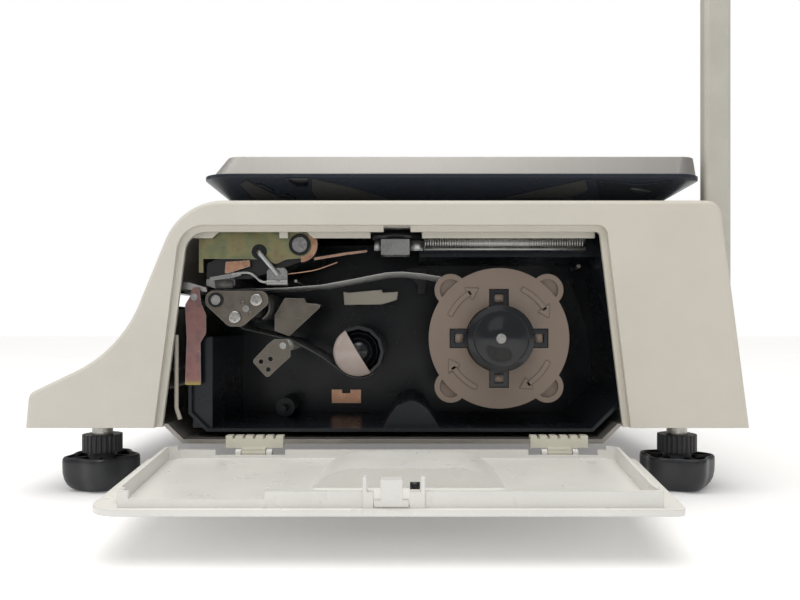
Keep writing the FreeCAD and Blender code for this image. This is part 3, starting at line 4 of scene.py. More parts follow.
import bmesh
import bpy
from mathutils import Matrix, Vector


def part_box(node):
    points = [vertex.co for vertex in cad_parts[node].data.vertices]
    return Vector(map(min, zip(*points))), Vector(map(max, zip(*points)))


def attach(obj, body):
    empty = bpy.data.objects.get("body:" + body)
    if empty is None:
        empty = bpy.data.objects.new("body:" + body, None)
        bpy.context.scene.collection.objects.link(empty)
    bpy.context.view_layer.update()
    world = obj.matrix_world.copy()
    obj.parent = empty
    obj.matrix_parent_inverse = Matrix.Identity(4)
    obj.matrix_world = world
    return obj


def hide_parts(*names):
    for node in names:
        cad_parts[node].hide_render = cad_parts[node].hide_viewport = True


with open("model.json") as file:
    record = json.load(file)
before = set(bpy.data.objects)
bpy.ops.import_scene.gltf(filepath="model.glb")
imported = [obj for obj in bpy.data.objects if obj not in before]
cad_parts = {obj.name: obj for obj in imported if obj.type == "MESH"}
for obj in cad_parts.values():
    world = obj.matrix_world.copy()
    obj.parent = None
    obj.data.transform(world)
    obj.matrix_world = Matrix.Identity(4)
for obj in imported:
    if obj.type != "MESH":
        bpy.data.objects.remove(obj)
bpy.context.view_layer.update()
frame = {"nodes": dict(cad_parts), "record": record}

MM = 0.001
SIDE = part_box("upper_housing")[1].x  # outer face of the printer-side wall
TURN = 2 * math.pi


# ---------------------------------------------------------------- node trees


class Finish:
    """A procedural material, with short calls for the nodes that most of them share."""

    def __init__(self, name, colour, roughness, metallic=0.0, specular=0.5):
        self.material = bpy.data.materials.new(name)
        self.material.use_nodes = True
        self.tree = self.material.node_tree
        self.shader = self.tree.nodes["Principled BSDF"]
        self.place = self.node("ShaderNodeTexCoord").outputs["Object"]
        self.relief = None
        self.constant("Base Color", (*colour, 1.0))
        self.constant("Roughness", roughness)
        self.constant("Metallic", metallic)
        self.constant("Specular IOR Level", specular)

    def node(self, kind, **settings):
        made = self.tree.nodes.new(kind)
        for name, value in settings.items():
            setattr(made, name, value)
        return made

    def wire(self, output, socket):
        self.tree.links.new(output, socket)

    def feed(self, node, socket, value):
        """Give a socket a number, a colour or another node's output."""
        if isinstance(value, bpy.types.NodeSocket):
            self.wire(value, node.inputs[socket])
        else:
            node.inputs[socket].default_value = value

    def constant(self, socket, value):
        self.shader.inputs[socket].default_value = value

    def drive(self, socket, value):
        self.wire(value, self.shader.inputs[socket])

    def stretched(self, scale):
        mapping = self.node("ShaderNodeMapping")
        mapping.inputs["Scale"].default_value = scale
        self.wire(self.place, mapping.inputs["Vector"])
        return mapping.outputs["Vector"]

    def noise(self, size, detail=3.0, stretch=(1.0, 1.0, 1.0), roughness=0.55):
        """Cloudy noise whose blotches are about this many metres across."""
        made = self.node("ShaderNodeTexNoise")
        self.wire(self.stretched(stretch), made.inputs["Vector"])
        made.inputs["Scale"].default_value = 1.0 / size
        made.inputs["Detail"].default_value = detail
        made.inputs["Roughness"].default_value = roughness
        return made.outputs["Fac"]

    def cells(self, size, feature="F1", stretch=(1.0, 1.0, 1.0)):
        made = self.node("ShaderNodeTexVoronoi", feature=feature)
        self.wire(self.stretched(stretch), made.inputs["Vector"])
        made.inputs["Scale"].default_value = 1.0 / size
        return made.outputs["Distance"]

    def span(self, value, low, high, start=0.0, end=1.0):
        """Map value from low..high to start..end, clamped."""
        made = self.node("ShaderNodeMapRange")
        self.wire(value, made.inputs["Value"])
        for name, number in (("From Min", low), ("From Max", high), ("To Min", start), ("To Max", end)):
            made.inputs[name].default_value = number
        return made.outputs["Result"]

    def sum(self, operation, first, second):
        made = self.node("ShaderNodeMath", operation=operation)
        self.feed(made, 0, first)
        self.feed(made, 1, second)
        return made.outputs[0]

    def mix(self, share, first, second, blend="MIX"):
        made = self.node("ShaderNodeMix", data_type="RGBA", blend_type=blend)
        self.feed(made, "Factor", share)
        self.feed(made, 6, first if isinstance(first, bpy.types.NodeSocket) else (*first, 1.0))
        self.feed(made, 7, second if isinstance(second, bpy.types.NodeSocket) else (*second, 1.0))
        return made.outputs[2]

    def ramp(self, value, stops):
        made = self.node("ShaderNodeValToRGB")
        band = made.color_ramp
        while len(band.elements) < len(stops):
            band.elements.new(0.5)
        for element, (position, colour) in zip(band.elements, stops):
            element.position = position
            element.color = (*colour, 1.0)
        self.wire(value, made.inputs["Fac"])
        return made.outputs["Color"]

    def bump(self, height, depth, strength=1.0):
        """Add relief of this depth in metres, on top of the relief so far."""
        made = self.node("ShaderNodeBump")
        made.inputs["Distance"].default_value = depth
        made.inputs["Strength"].default_value = strength
        self.wire(height, made.inputs["Height"])
        if self.relief is not None:
            self.wire(self.relief, made.inputs["Normal"])
        self.relief = made.outputs["Normal"]
        self.drive("Normal", self.relief)

    def soft_edges(self, radius):
        """Round every edge a little in the shading, as moulding and tumbling do."""
        made = self.node("ShaderNodeBevel", samples=4)
        made.inputs["Radius"].default_value = radius
        self.relief = made.outputs["Normal"]
        self.drive("Normal", self.relief)
        return made.outputs["Normal"]

    def edge_wear(self, radius):
        """1 along edges, fading to 0 this far from them."""
        rounded = self.node("ShaderNodeBevel", samples=4)
        rounded.inputs["Radius"].default_value = radius
        dot = self.node("ShaderNodeVectorMath", operation="DOT_PRODUCT")
        self.wire(rounded.outputs["Normal"], dot.inputs[0])
        self.wire(self.node("ShaderNodeNewGeometry").outputs["Normal"], dot.inputs[1])
        return self.span(dot.outputs["Value"], 0.99, 0.80)

    def upward(self):
        """1 on faces that look up, 0 on walls and undersides."""
        parts = self.node("ShaderNodeSeparateXYZ")
        self.wire(self.node("ShaderNodeNewGeometry").outputs["Normal"], parts.inputs[0])
        return self.span(parts.outputs["Z"], 0.4, 0.95)

    def level(self, axis):
        parts = self.node("ShaderNodeSeparateXYZ")
        self.wire(self.place, parts.inputs[0])
        return parts.outputs[axis]

    def scratches(self, size=0.012, thin=60.0):
        """Fine lines in two directions."""
        first = self.noise(size, 2.0, (1.0, thin, thin * 0.8))
        second = self.noise(size, 2.0, (thin, 1.2, thin * 0.5))
        return self.sum("MAXIMUM", self.span(first, 0.66, 0.72), self.span(second, 0.67, 0.73))


def shade(colour, factor):
    return tuple(min(1.0, channel * factor) for channel in colour)


def moulded(name, colour, roughness, grain=0.0006, grain_depth=0.00003, soft=0.0004, dust=0.0, specular=0.5):
    """Injection-moulded plastic: fine spark-eroded grain, slow tone changes, a little dust on top."""
    made = Finish(name, colour, roughness, specular=specular)
    if soft:
        made.soft_edges(soft)
    slow = made.noise(0.05, 4.0)
    tone = made.mix(made.span(slow, 0.3, 0.7), shade(colour, 0.95), shade(colour, 1.04))
    fine = made.noise(grain, 2.0)
    tone = made.mix(made.span(fine, 0.35, 0.65, 0.0, 0.10), tone, shade(colour, 0.78))
    if dust:
        specks = made.span(made.cells(0.0031), 0.13, 0.05)
        haze = made.span(made.noise(0.012, 5.0), 0.45, 0.8, 0.0, 0.5)
        settled = made.span(made.upward(), 0.0, 1.0, 0.12, 1.0)
        amount = made.sum("MULTIPLY", made.sum("MAXIMUM", specks, haze), settled)
        tone = made.mix(made.sum("MULTIPLY", amount, dust), tone, (0.42, 0.41, 0.38))
    made.drive("Base Color", tone)
    made.drive("Roughness", made.span(made.noise(0.02, 4.0), 0.3, 0.7, roughness * 0.86, roughness * 1.16))
    made.bump(fine, grain_depth, 0.5)
    return made


def glossy_moulded(name, colour, roughness, coat=0.35):
    """Polished plastic under a thin clear skin."""
    made = moulded(name, colour, roughness, grain=0.0012, grain_depth=0.000002, soft=0.0005)
    made.constant("Coat Weight", coat)
    made.constant("Coat Roughness", 0.08)
    return made


def plated(name, colours, roughness, blotch=0.012, wear=0.0006, bright=(0.46, 0.46, 0.44)):
    """Zinc-plated sheet: drifting passivation tints, rubbed bright edges, fine scratches."""
    made = Finish(name, colours[0], roughness, metallic=1.0)
    cloud = made.noise(blotch, 5.0, roughness=0.6)
    last = len(colours) - 1
    stops = [(0.32 + 0.36 * i / last, colour) for i, colour in enumerate(colours)]
    tone = made.ramp(cloud, stops)
    marks = made.scratches()
    tone = made.mix(made.sum("MULTIPLY", marks, 0.35), tone, bright)
    tone = made.mix(made.sum("MULTIPLY", made.edge_wear(wear), 0.6), tone, bright)
    made.drive("Base Color", tone)
    made.drive("Roughness", made.span(made.noise(0.006, 4.0), 0.3, 0.7, roughness * 0.75, roughness * 1.3))
    made.bump(made.noise(0.0009, 2.0), 0.00003, 0.35)
    made.bump(marks, 0.00001, 0.4)
    return made


def brushed(name, colour, roughness, along, wear=0.0006):
    """Brushed steel. along stretches the grain: small numbers run with it, large ones across it."""
    made = Finish(name, colour, roughness, metallic=1.0)
    made.soft_edges(wear)
    lines = made.noise(0.02, 4.0, along, 0.7)
    fine = made.noise(0.006, 2.0, along, 0.7)
    tone = made.mix(made.span(lines, 0.3, 0.7), shade(colour, 0.93), shade(colour, 1.04))
    made.drive("Base Color", tone)
    both = made.sum("ADD", lines, fine)
    made.drive("Roughness", made.span(both, 0.7, 1.3, roughness * 0.75, roughness * 1.3))
    made.bump(fine, 0.00003, 0.5)
    made.constant("Anisotropic", 0.5)
    return made


def turned(name, colour=(0.40, 0.39, 0.38), roughness=0.2):
    """Turned or ground steel: rings round the X axis and a trace of oil."""
    made = Finish(name, colour, roughness, metallic=1.0)
    rings = made.noise(0.002, 3.0, (6.0, 1.0, 1.0))
    made.drive("Base Color", made.mix(made.span(rings, 0.3, 0.7), shade(colour, 0.82), shade(colour, 1.1)))
    made.drive("Roughness", made.span(made.noise(0.004, 3.0), 0.3, 0.7, roughness * 0.7, roughness * 1.6))
    made.bump(rings, 0.00003, 0.3)
    return made


def painted(name, colour, roughness, metallic=0.0, peel=0.0008):
    """Sprayed coat with a light orange peel and worn edges."""
    made = Finish(name, colour, roughness, metallic=metallic)
    made.soft_edges(0.0004)
    tone = made.mix(made.span(made.noise(0.03, 4.0), 0.3, 0.7), shade(colour, 0.93), shade(colour, 1.05))
    made.drive("Base Color", made.mix(made.sum("MULTIPLY", made.scratches(), 0.25), tone, shade(colour, 1.3)))
    made.drive("Roughness", made.span(made.noise(0.01, 3.0), 0.3, 0.7, roughness * 0.85, roughness * 1.2))
    made.bump(made.noise(peel, 1.0), 0.00004, 0.4)
    return made


def rubber(name, colour, roughness):
    made = Finish(name, colour, roughness, specular=0.3)
    grind = made.noise(0.0005, 3.0, (0.4, 1.0, 1.0))
    made.drive("Base Color", made.mix(made.span(grind, 0.3, 0.7), shade(colour, 0.8), shade(colour, 1.4)))
    made.drive("Roughness", made.span(made.noise(0.006, 3.0), 0.3, 0.7, roughness * 0.8, roughness * 1.15))
    made.bump(grind, 0.00004, 0.4)
    return made


def paper(name, colour, sheen):
    """Coated stock: fibres just visible, edges a shade darker where turns meet."""
    made = Finish(name, colour, sheen)
    fibres = made.noise(0.0007, 5.0, (1.0, 1.0, 0.5))
    turns = made.noise(0.0005, 1.0, (0.02, 1.0, 1.0))
    tone = made.mix(made.span(fibres, 0.3, 0.7), shade(colour, 0.94), colour)
    tone = made.mix(made.span(turns, 0.45, 0.6, 0.0, 0.25), tone, shade(colour, 0.7))
    made.drive("Base Color", tone)
    made.drive("Roughness", made.span(fibres, 0.3, 0.7, sheen * 0.85, sheen * 1.15))
    made.bump(fibres, 0.00002, 0.3)
    made.constant("Subsurface Weight", 0.04)
    return made


def circuit_board(name):
    """Green solder mask over copper traces, with tinned pads."""
    made = Finish(name, (0.02, 0.13, 0.05), 0.35)
    traces = made.node("ShaderNodeTexBrick")
    made.wire(made.place, traces.inputs["Vector"])
    traces.inputs["Scale"].default_value = 160.0
    traces.inputs["Mortar Size"].default_value = 0.03
    tone = made.mix(traces.outputs["Fac"], (0.015, 0.11, 0.04), (0.04, 0.22, 0.08))
    pads = made.span(made.cells(0.004), 0.16, 0.12)
    made.drive("Base Color", made.mix(pads, tone, (0.7, 0.68, 0.6)))
    made.drive("Metallic", pads)
    made.drive("Roughness", made.span(made.noise(0.01, 3.0), 0.3, 0.7, 0.25, 0.45))
    made.bump(traces.outputs["Fac"], 0.00004, 0.5)
    return made


def tinted_glass(name, colour, roughness=0.06):
    made = Finish(name, colour, roughness)
    made.constant("Coat Weight", 1.0)
    made.constant("Coat Roughness", 0.03)
    smear = made.noise(0.02, 5.0)
    made.drive("Roughness", made.span(smear, 0.35, 0.7, roughness, roughness * 3.0))
    made.drive("Base Color", made.mix(made.span(smear, 0.3, 0.7), colour, shade(colour, 1.5)))
    made.bump(made.noise(0.03, 1.0), 0.0003, 0.1)
    return made


def passivated_lever(name):
    """Iridescent pink-grey plating with a yellow band along the lower edge."""
    made = plated(name, ((0.22, 0.115, 0.115), (0.27, 0.15, 0.135), (0.19, 0.12, 0.13)), 0.3, 0.01)
    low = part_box("release_lever")[0].z
    band = made.span(made.level("Z"), low + 0.0005, low + 0.003)
    was = made.shader.inputs["Base Color"].links[0].from_socket
    made.drive("Base Color", made.mix(band, (0.36, 0.28, 0.10), was))
    return made


def case_plastic(name):
    """Off-white moulding, a shade warmer and darker towards the rear."""
    made = moulded(name, CASE_WHITE, 0.42, grain=0.0009, grain_depth=0.00004, soft=0.0007)
    # the colour itself turns warmer and darker towards the rear (+Y)
    rearward = made.span(made.level("Y"), -0.2, 0.25)
    was = made.shader.inputs["Base Color"].links[0].from_socket
    made.drive("Base Color", made.mix(made.sum("MULTIPLY", rearward, 0.5), was, (0.62, 0.58, 0.48)))
    made.bump(made.noise(0.06, 1.0), 0.0008, 0.06)
    return made


CASE_WHITE = (0.675, 0.645, 0.575)
NEAR_BLACK = (0.010, 0.013, 0.018)
ZINC = (0.36, 0.36, 0.35)
TAUPE = (0.245, 0.190, 0.152)
IVORY = (0.74, 0.715, 0.60)

# A finish for every material slot of the record
FINISHES = {
    "case_plastic": case_plastic("case_plastic_finish"),
    "door_plastic": glossy_moulded("door_plastic_finish", (0.80, 0.79, 0.75), 0.30, 0.10),
    "bay_plastic": moulded(
        "bay_plastic_finish", NEAR_BLACK, 0.25, grain_depth=0.00001, dust=0.03, specular=0.32
    ),
    "tray_plastic": moulded("tray_plastic_finish", (0.014, 0.019, 0.029), 0.26, dust=0.03),
    "platter_steel": brushed("platter_steel_finish", (0.46, 0.445, 0.42), 0.42, (0.6, 90.0, 0.6)),
    "pan_steel": painted("pan_steel_finish", (0.33, 0.31, 0.285), 0.32, 0.7),
    "zinc_yellow": plated(
        "zinc_yellow_finish",
        ((0.26, 0.24, 0.12), (0.22, 0.24, 0.14), (0.29, 0.27, 0.14), (0.25, 0.20, 0.13)),
        0.36,
    ),
    "zinc_plain": plated("zinc_plain_finish", (ZINC, (0.32, 0.32, 0.315), (0.42, 0.42, 0.41)), 0.28),
    "zinc_red": passivated_lever("zinc_red_finish"),
    "bracket_metal": plated("bracket_metal_finish", ((0.135, 0.122, 0.10), (0.18, 0.16, 0.135)), 0.34),
    "shaft_steel": turned("shaft_steel_finish"),
    "screw_steel": turned("screw_steel_finish", (0.46, 0.45, 0.42), 0.26),
    "roller_rubber": rubber("roller_rubber_finish", (0.035, 0.035, 0.036), 0.62),
    "roller_plastic": moulded("roller_plastic_finish", (0.70, 0.68, 0.63), 0.4),
    "ribbed_plastic": moulded("ribbed_plastic_finish", (0.115, 0.115, 0.112), 0.36),
    "spool_plastic": moulded(
        "spool_plastic_finish", TAUPE, 0.5, grain=0.0005, grain_depth=0.00006, soft=0.0005
    ),
    "hub_plastic": moulded("hub_plastic_finish", (0.007, 0.008, 0.011), 0.16, grain_depth=0.000005),
    "clip_plastic": glossy_moulded("clip_plastic_finish", (0.43, 0.355, 0.325), 0.14),
    "hinge_plastic": moulded("hinge_plastic_finish", IVORY, 0.4),
    "label_stock": paper("label_stock_finish", (0.80, 0.80, 0.78), 0.45),
    "liner_stock": paper("liner_stock_finish", (0.13, 0.14, 0.145), 0.3),
    "board": circuit_board("board_finish"),
    "socket_plastic": moulded("socket_plastic_finish", (0.018, 0.018, 0.02), 0.38),
    "cell_metal": brushed("cell_metal_finish", (0.66, 0.66, 0.67), 0.3, (20.0, 0.6, 20.0)),
    "stand_metal": painted("stand_metal_finish", (0.42, 0.42, 0.43), 0.5, 0.7),
    "supply_metal": plated("supply_metal_finish", (ZINC, (0.54, 0.56, 0.57)), 0.4, 0.02),
    "key_film": moulded("key_film_finish", (0.40, 0.45, 0.50), 0.38, grain=0.0007, grain_depth=0.00005),
    "pole_metal": painted("pole_metal_finish", (0.57, 0.55, 0.49), 0.36, 0.15),
    "display_glass": tinted_glass("display_glass_finish", (0.02, 0.026, 0.024)),
    "gear_plastic": moulded("gear_plastic_finish", (0.68, 0.65, 0.56), 0.42),
    "belt_rubber": rubber("belt_rubber_finish", (0.02, 0.02, 0.02), 0.6),
    "motor_metal": painted("motor_metal_finish", (0.05, 0.05, 0.055), 0.4, 0.3),
    "head_plastic": moulded("head_plastic_finish", (0.010, 0.010, 0.012), 0.3),
    "head_metal": brushed("head_metal_finish", (0.33, 0.33, 0.33), 0.35, (0.6, 18.0, 18.0)),
    "copper_foil": plated("copper_foil_finish", ((0.50, 0.27, 0.17), (0.58, 0.34, 0.23)), 0.28, 0.006),
    "foot_plastic": moulded(
        "foot_plastic_finish", (0.014, 0.015, 0.018), 0.34, grain_depth=0.00003, dust=0.06
    ),
    "level_glass": tinted_glass("level_glass_finish", (0.36, 0.52, 0.12), 0.05),
    "rod_plastic": moulded("rod_plastic_finish", (0.50, 0.465, 0.39), 0.44),
}


def paint_nodes():
    """Give every carried-over CAD node the finish of its slot."""
    for row in frame["record"]["subparts"]:
        node = frame["nodes"][row["node"]]
        finish = FINISHES[row["material_slot"]].material
        if not node.data.materials:
            node.data.materials.append(finish)
        for index in range(len(node.data.materials)):
            node.data.materials[index] = finish


# ---------------------------------------------------------------- mesh helpers


def at(depth, y, z):
    """A point from its depth in millimetres behind the printer-side wall, and its Y and Z."""
    return Vector((SIDE - depth * MM, y * MM, z * MM))


def keep(name, mesh, body, slot, smooth=True):
    """Put a finished mesh in the scene on a body, with a slot's finish."""
    piece = bpy.data.objects.new(name, mesh)
    bpy.context.scene.collection.objects.link(piece)
    mesh.materials.append(FINISHES[slot].material)
    for face in mesh.polygons:
        face.use_smooth = smooth
    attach(piece, body)
    return piece


def from_bmesh(name, shape, body, slot, smooth=True, sharp=35.0):
    bmesh.ops.recalc_face_normals(shape, faces=shape.faces)
    for edge in shape.edges:
        angle = edge.calc_face_angle(0.0) if len(edge.link_faces) == 2 else 0.0
        edge.smooth = angle < math.radians(sharp)
    mesh = bpy.data.meshes.new(name)
    shape.to_mesh(mesh)
    shape.free()
    return keep(name, mesh, body, slot, smooth)


def ease_edges(shape, width, steps=2, limit=30.0):
    """Round the sharp edges of a mesh by this many metres."""
    least = math.radians(limit)
    sharp = [edge for edge in shape.edges if len(edge.link_faces) == 2 and edge.calc_face_angle(0.0) > least]
    bmesh.ops.bevel(shape, geom=sharp, offset=width, segments=steps, affect="EDGES", clamp_overlap=True)


def add_prism(shape, near_points, far_points):
    """Add a closed solid between two loops of as many points."""
    near = [shape.verts.new(point) for point in near_points]
    far = [shape.verts.new(point) for point in far_points]
    shape.faces.new(near)
    shape.faces.new(list(reversed(far)))
    add_band(shape, near, far)


def add_band(shape, first, second):
    """Add the faces between two closed rings of vertices."""
    count = len(first)
    for i in range(count):
        following = (i + 1) % count
        shape.faces.new((first[i], second[i], second[following], first[following]))


def add_sheet(shape, outline, depths):
    """Add a plate to a mesh: an outline of Y, Z pairs between two depths, all in millimetres."""
    near, far = ([at(depth, y, z) for y, z in outline] for depth in depths)
    add_prism(shape, near, far)


def sheet_piece(name, outline, depths, body, slot, ease=0.25):
    """A plate with eased edges."""
    shape = bmesh.new()
    add_sheet(shape, outline, depths)
    bmesh.ops.recalc_face_normals(shape, faces=shape.faces)
    ease_edges(shape, ease * MM)
    return from_bmesh(name, shape, body, slot)


def add_block(shape, depths, y, z):
    add_sheet(shape, [(y[0], z[0]), (y[1], z[0]), (y[1], z[1]), (y[0], z[1])], depths)


def spot(axis, radius, turn):
    """Y and Z of a point at a radius and angle about an axis."""
    return (axis[0] + radius * math.cos(turn), axis[1] + radius * math.sin(turn))


def add_turned(shape, axis, profile, steps=48, phase=0.0, hollow=False, sweep=TURN):
    """Add a turned shape about an X axis at Y, Z: profile is radius, depth pairs in millimetres.

    A hollow shape's profile is a closed loop round its section. A sweep below a full turn
    gives a sector whose ends are closed.
    """
    full = sweep >= TURN
    count = steps if full else steps + 1
    rings = []
    for radius, depth in profile:
        turns = [phase + sweep * i / steps for i in range(count)]
        rings.append([shape.verts.new(at(depth, *spot(axis, radius, turn))) for turn in turns])
    pairs = list(zip(rings, rings[1:]))
    if hollow:
        pairs.append((rings[-1], rings[0]))
    for first, second in pairs:
        for i in range(steps):
            following = (i + 1) % count
            shape.faces.new((first[i], first[following], second[following], second[i]))
    if not hollow:
        shape.faces.new(rings[0])
        shape.faces.new(rings[-1])
    if hollow and not full:
        shape.faces.new([ring[0] for ring in rings])
        shape.faces.new([ring[-1] for ring in rings])


def turned_piece(name, axis, profile, body, slot, **form):
    shape = bmesh.new()
    add_turned(shape, axis, profile, **form)
    return from_bmesh(name, shape, body, slot)


def ring_piece(name, axis, inner, outer, depths, body, slot, ease=0.3):
    """A washer or collar with a hole, eased on its rims."""
    near, far = depths
    profile = [
        (inner, near + ease), (inner + ease, near), (outer - ease, near), (outer, near + ease),
        (outer, far - ease), (outer - ease, far), (inner + ease, far), (inner, far - ease),
    ]
    return turned_piece(name, axis, profile, body, slot, hollow=True)


def smooth_line(points, count):
    """Points evenly placed along a smooth curve through the given points."""
    line = []
    padded = [points[0]] + list(points) + [points[-1]]
    for i in range(len(points) - 1):
        p0, p1, p2, p3 = padded[i:i + 4]
        for k in range(count):
            t = k / count
            line.append(0.5 * ((2 * p1) + (p2 - p0) * t + (2 * p0 - 5 * p1 + 4 * p2 - p3) * t * t
                               + (3 * p1 - p0 - 3 * p2 + p3) * t * t * t))
    return line + [points[-1]]


def cap_rings(shape, rings):
    """Join rings of vertices into one closed skin with flat ends."""
    for first, second in zip(rings, rings[1:]):
        add_band(shape, first, second)
    shape.faces.new(rings[0])
    shape.faces.new(rings[-1])


def add_tube(shape, points, radius, steps=12):
    """Add a round bar along points in metres, with flat ends."""
    rings = []
    side = Vector((0, 0, 1))
    last = len(points) - 1
    for i, point in enumerate(points):
        ahead = (points[min(i + 1, last)] - points[max(i - 1, 0)]).normalized()
        if abs(ahead.dot(side)) > 0.95:
            side = Vector((0, 1, 0))
        across = ahead.cross(side).normalized()
        side = across.cross(ahead).normalized()
        ring = []
        for k in range(steps):
            angle = TURN * k / steps
            ring.append(shape.verts.new(point + radius * (math.cos(angle) * across + math.sin(angle) * side)))
        rings.append(ring)
    cap_rings(shape, rings)


def bar_piece(name, points, radius, body, slot, count=8):
    shape = bmesh.new()
    add_tube(shape, smooth_line([at(*p) for p in points], count), radius * MM)
    return from_bmesh(name, shape, body, slot, sharp=60.0)


def cut_away(piece, cutter):
    """Subtract one mesh object from another and drop the cutter."""
    modifier = piece.modifiers.new("cut", "BOOLEAN")
    modifier.operation = "DIFFERENCE"
    modifier.solver = "EXACT"
    modifier.object = cutter
    bpy.context.view_layer.update()
    solved = bpy.data.meshes.new_from_object(piece.evaluated_get(bpy.context.evaluated_depsgraph_get()))
    piece.modifiers.clear()
    piece.data = solved
    bpy.data.objects.remove(cutter)


def screw_head(name, axis, depth, radius, body):
    """Pan-head screw facing the door side, with a cross recess."""
    height = radius * 0.36
    turn = 0.3
    rim = [(1.0, 0.3), (0.97, 0.62), (0.90, 0.84), (0.78, 0.96), (0.66, 1.0), (0.005, 1.0)]
    profile = [(radius, depth)] + [(radius * wide, depth - height * high) for wide, high in rim]
    shape = bmesh.new()
    add_turned(shape, axis, profile)
    head = from_bmesh(name, shape, body, "screw_steel")
    long, thin = radius * 0.6, radius * 0.14
    star = [(long, -thin), (long, thin), (thin, thin), (thin, long), (-thin, long), (-thin, thin)]
    star += [(-long, thin), (-long, -thin), (-thin, -thin), (-thin, -long), (thin, -long), (thin, -thin)]
    outline = []
    for y, z in star:
        outline.append((
            axis[0] + y * math.cos(turn) - z * math.sin(turn),
            axis[1] + y * math.sin(turn) + z * math.cos(turn),
        ))
    cross = bmesh.new()
    add_sheet(cross, outline, (depth - height - 1.0, depth - height * 0.35))
    bmesh.ops.recalc_face_normals(cross, faces=cross.faces)
    mesh = bpy.data.meshes.new("cross")
    cross.to_mesh(mesh)
    cross.free()
    cutter = bpy.data.objects.new("cross", mesh)
    bpy.context.scene.collection.objects.link(cutter)
    cut_away(head, cutter)
    return head


# ---------------------------------------------------------------- pieces by the print head


HEAD_AXIS = (-53.3, 148.3)
WIRE_HOLE = (-77.9, 144.1)
PLATEN_AXIS = (-104.1, 115.0)
SIDE_SCREWS = ((-79.6, 115.0), (-92.7, 104.6))
GUIDE_AXIS = (-81.0, 111.0)
REWIND_AXIS = (-18.7, 83.6)
SPOOL_AXIS = (68.0, 91.7)

# Sheet pieces about the print head: name, outline as Y and Z, depths, body, slot
HEAD_SHEETS = (
    ("contact_spring", ((-98.6, 131.3), (-98.0, 138.0), (-83.5, 139.0), (-83.2, 135.3), (-96.8, 131.0)),
     (13.4, 14.1), "case", "copper_foil"),
    ("catch_tab", ((-107.5, 126.6), (-107.3, 128.6), (-94.1, 131.0), (-88.4, 131.7), (-88.4, 129.9),
                   (-94.0, 128.2)),
     (12.6, 14.0), "case", "zinc_plain"),
    ("head_end_cap", ((-105.7, 127.2), (-94.8, 127.2), (-94.8, 122.2), (-105.1, 122.2)),
     (16.8, 19.6), "print_head", "ribbed_plastic"),
    ("head_tie_strip", ((-44.9, 140.7), (-41.2, 141.3), (-26.1, 143.8), (-12.8, 145.3), (-12.8, 144.0),
                        (-26.1, 142.2), (-41.2, 139.7), (-44.9, 139.2)),
     (15.0, 15.6), "case", "copper_foil"),
    ("exit_ramp", ((-124.0, 125.6), (-120.0, 125.6), (-109.5, 122.4), (-109.0, 119.9), (-112.5, 120.2),
                   (-124.0, 121.6)),
     (12.7, 13.4), "case", "supply_metal"),
    ("wire_clip", ((-73.2, 126.0), (-73.2, 132.7), (-71.1, 134.3), (-62.7, 134.4), (-60.9, 132.4),
                   (-60.9, 126.0)),
     (13.9, 14.4), "case", "zinc_plain"),
    ("feed_bridge", ((-31.1, 122.0), (-27.5, 121.4), (-5.5, 123.4), (-5.1, 121.4), (5.2, 122.0), (4.5, 116.6),
                     (-5.5, 113.6), (-30.5, 113.2)),
     (60.0, 62.0), "case", "rod_plastic"),
    ("hanger_leg", ((11.0, 140.9), (25.3, 140.9), (25.0, 129.9), (23.9, 121.7), (17.8, 121.7), (18.9, 127.0),
                    (15.3, 132.0), (11.8, 134.2)),
     (94.0, 96.0), "case", "head_plastic"),
)


def head_trim():
    """Small plated parts about the print head, as sheet, wire and rings."""
    for name, outline, depths, body, slot in HEAD_SHEETS:
        sheet_piece(name, outline, depths, body, slot, 0.2)
    ring_piece("head_shaft_collar", HEAD_AXIS, 4.6, 6.5, (12.6, 14.2), "case", "hub_plastic")
    ring_piece("wire_grommet", WIRE_HOLE, 1.7, 4.6, (13.9, 14.35), "print_head", "hub_plastic", 0.15)
    ring_piece("platen_bush", PLATEN_AXIS, 3.0, 4.5, (13.2, 14.3), "case", "hub_plastic")
    rim = [(10.6, 13.9), (10.6, 14.35), (7.2, 14.35), (7.2, 13.9)]
    part_turn = {"phase": -1.5, "sweep": 2.3, "hollow": True}
    turned_piece("head_plate_rim", HEAD_AXIS, rim, "print_head", "copper_foil", **part_turn)
    spring = [(13.2, -94.0, 130.6), (13.2, -85.5, 131.4), (13.2, -81.2, 130.0)]
    spring += [(13.2, -77.0, 126.4), (13.2, -73.2, 125.6)]
    bar_piece("catch_wire", spring, 0.9, "case", "zinc_plain")
    bar_piece("wire_clip_roll", ((15.0, -73.4, 125.6), (15.0, -60.7, 125.6)), 2.0, "case", "zinc_plain")
    grip = ((12.2, -77.2, 143.1), (12.2, -71.6, 136.4), (12.2, -66.2, 130.0))
    bar_piece("release_grip", grip, 1.6, "wire_handle", "supply_metal")
    lead = ((16.8, -61.0, 130.9), (16.8, -50.0, 132.3), (16.8, -42.0, 134.0), (16.8, -31.0, 138.0))
    bar_piece("head_lead", lead, 0.4, "print_head", "copper_foil")
    bar_piece("paper_pin", ((14.2, -55.8, 126.5), (99.8, -55.8, 126.5)), 0.9, "case", "shaft_steel")
    bar_piece("wall_pin", ((40.0, 120.9, 137.4), (58.0, 120.9, 137.4)), 1.3, "case", "shaft_steel")
    for axis, name in (((-88.1, 113.2), "bracket_pin_upper"), ((-83.4, 106.9), "bracket_pin_lower")):
        turned_piece(name, axis, [(1.2, 14.6), (1.2, 13.9), (0.8, 13.6)], "case", "bracket_metal")


def side_screws():
    """Two long screws through the side bracket, each with its spacer."""
    for axis, name in zip(SIDE_SCREWS, ("side_screw_upper", "side_screw_lower")):
        head = screw_head(name, axis, 14.3, 3.9, "case")
        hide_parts("tie_rods")
        turned_piece(name + "_spacer", axis, [(3.0, 16.3), (3.0, 99.9)], "case", "screw_steel")


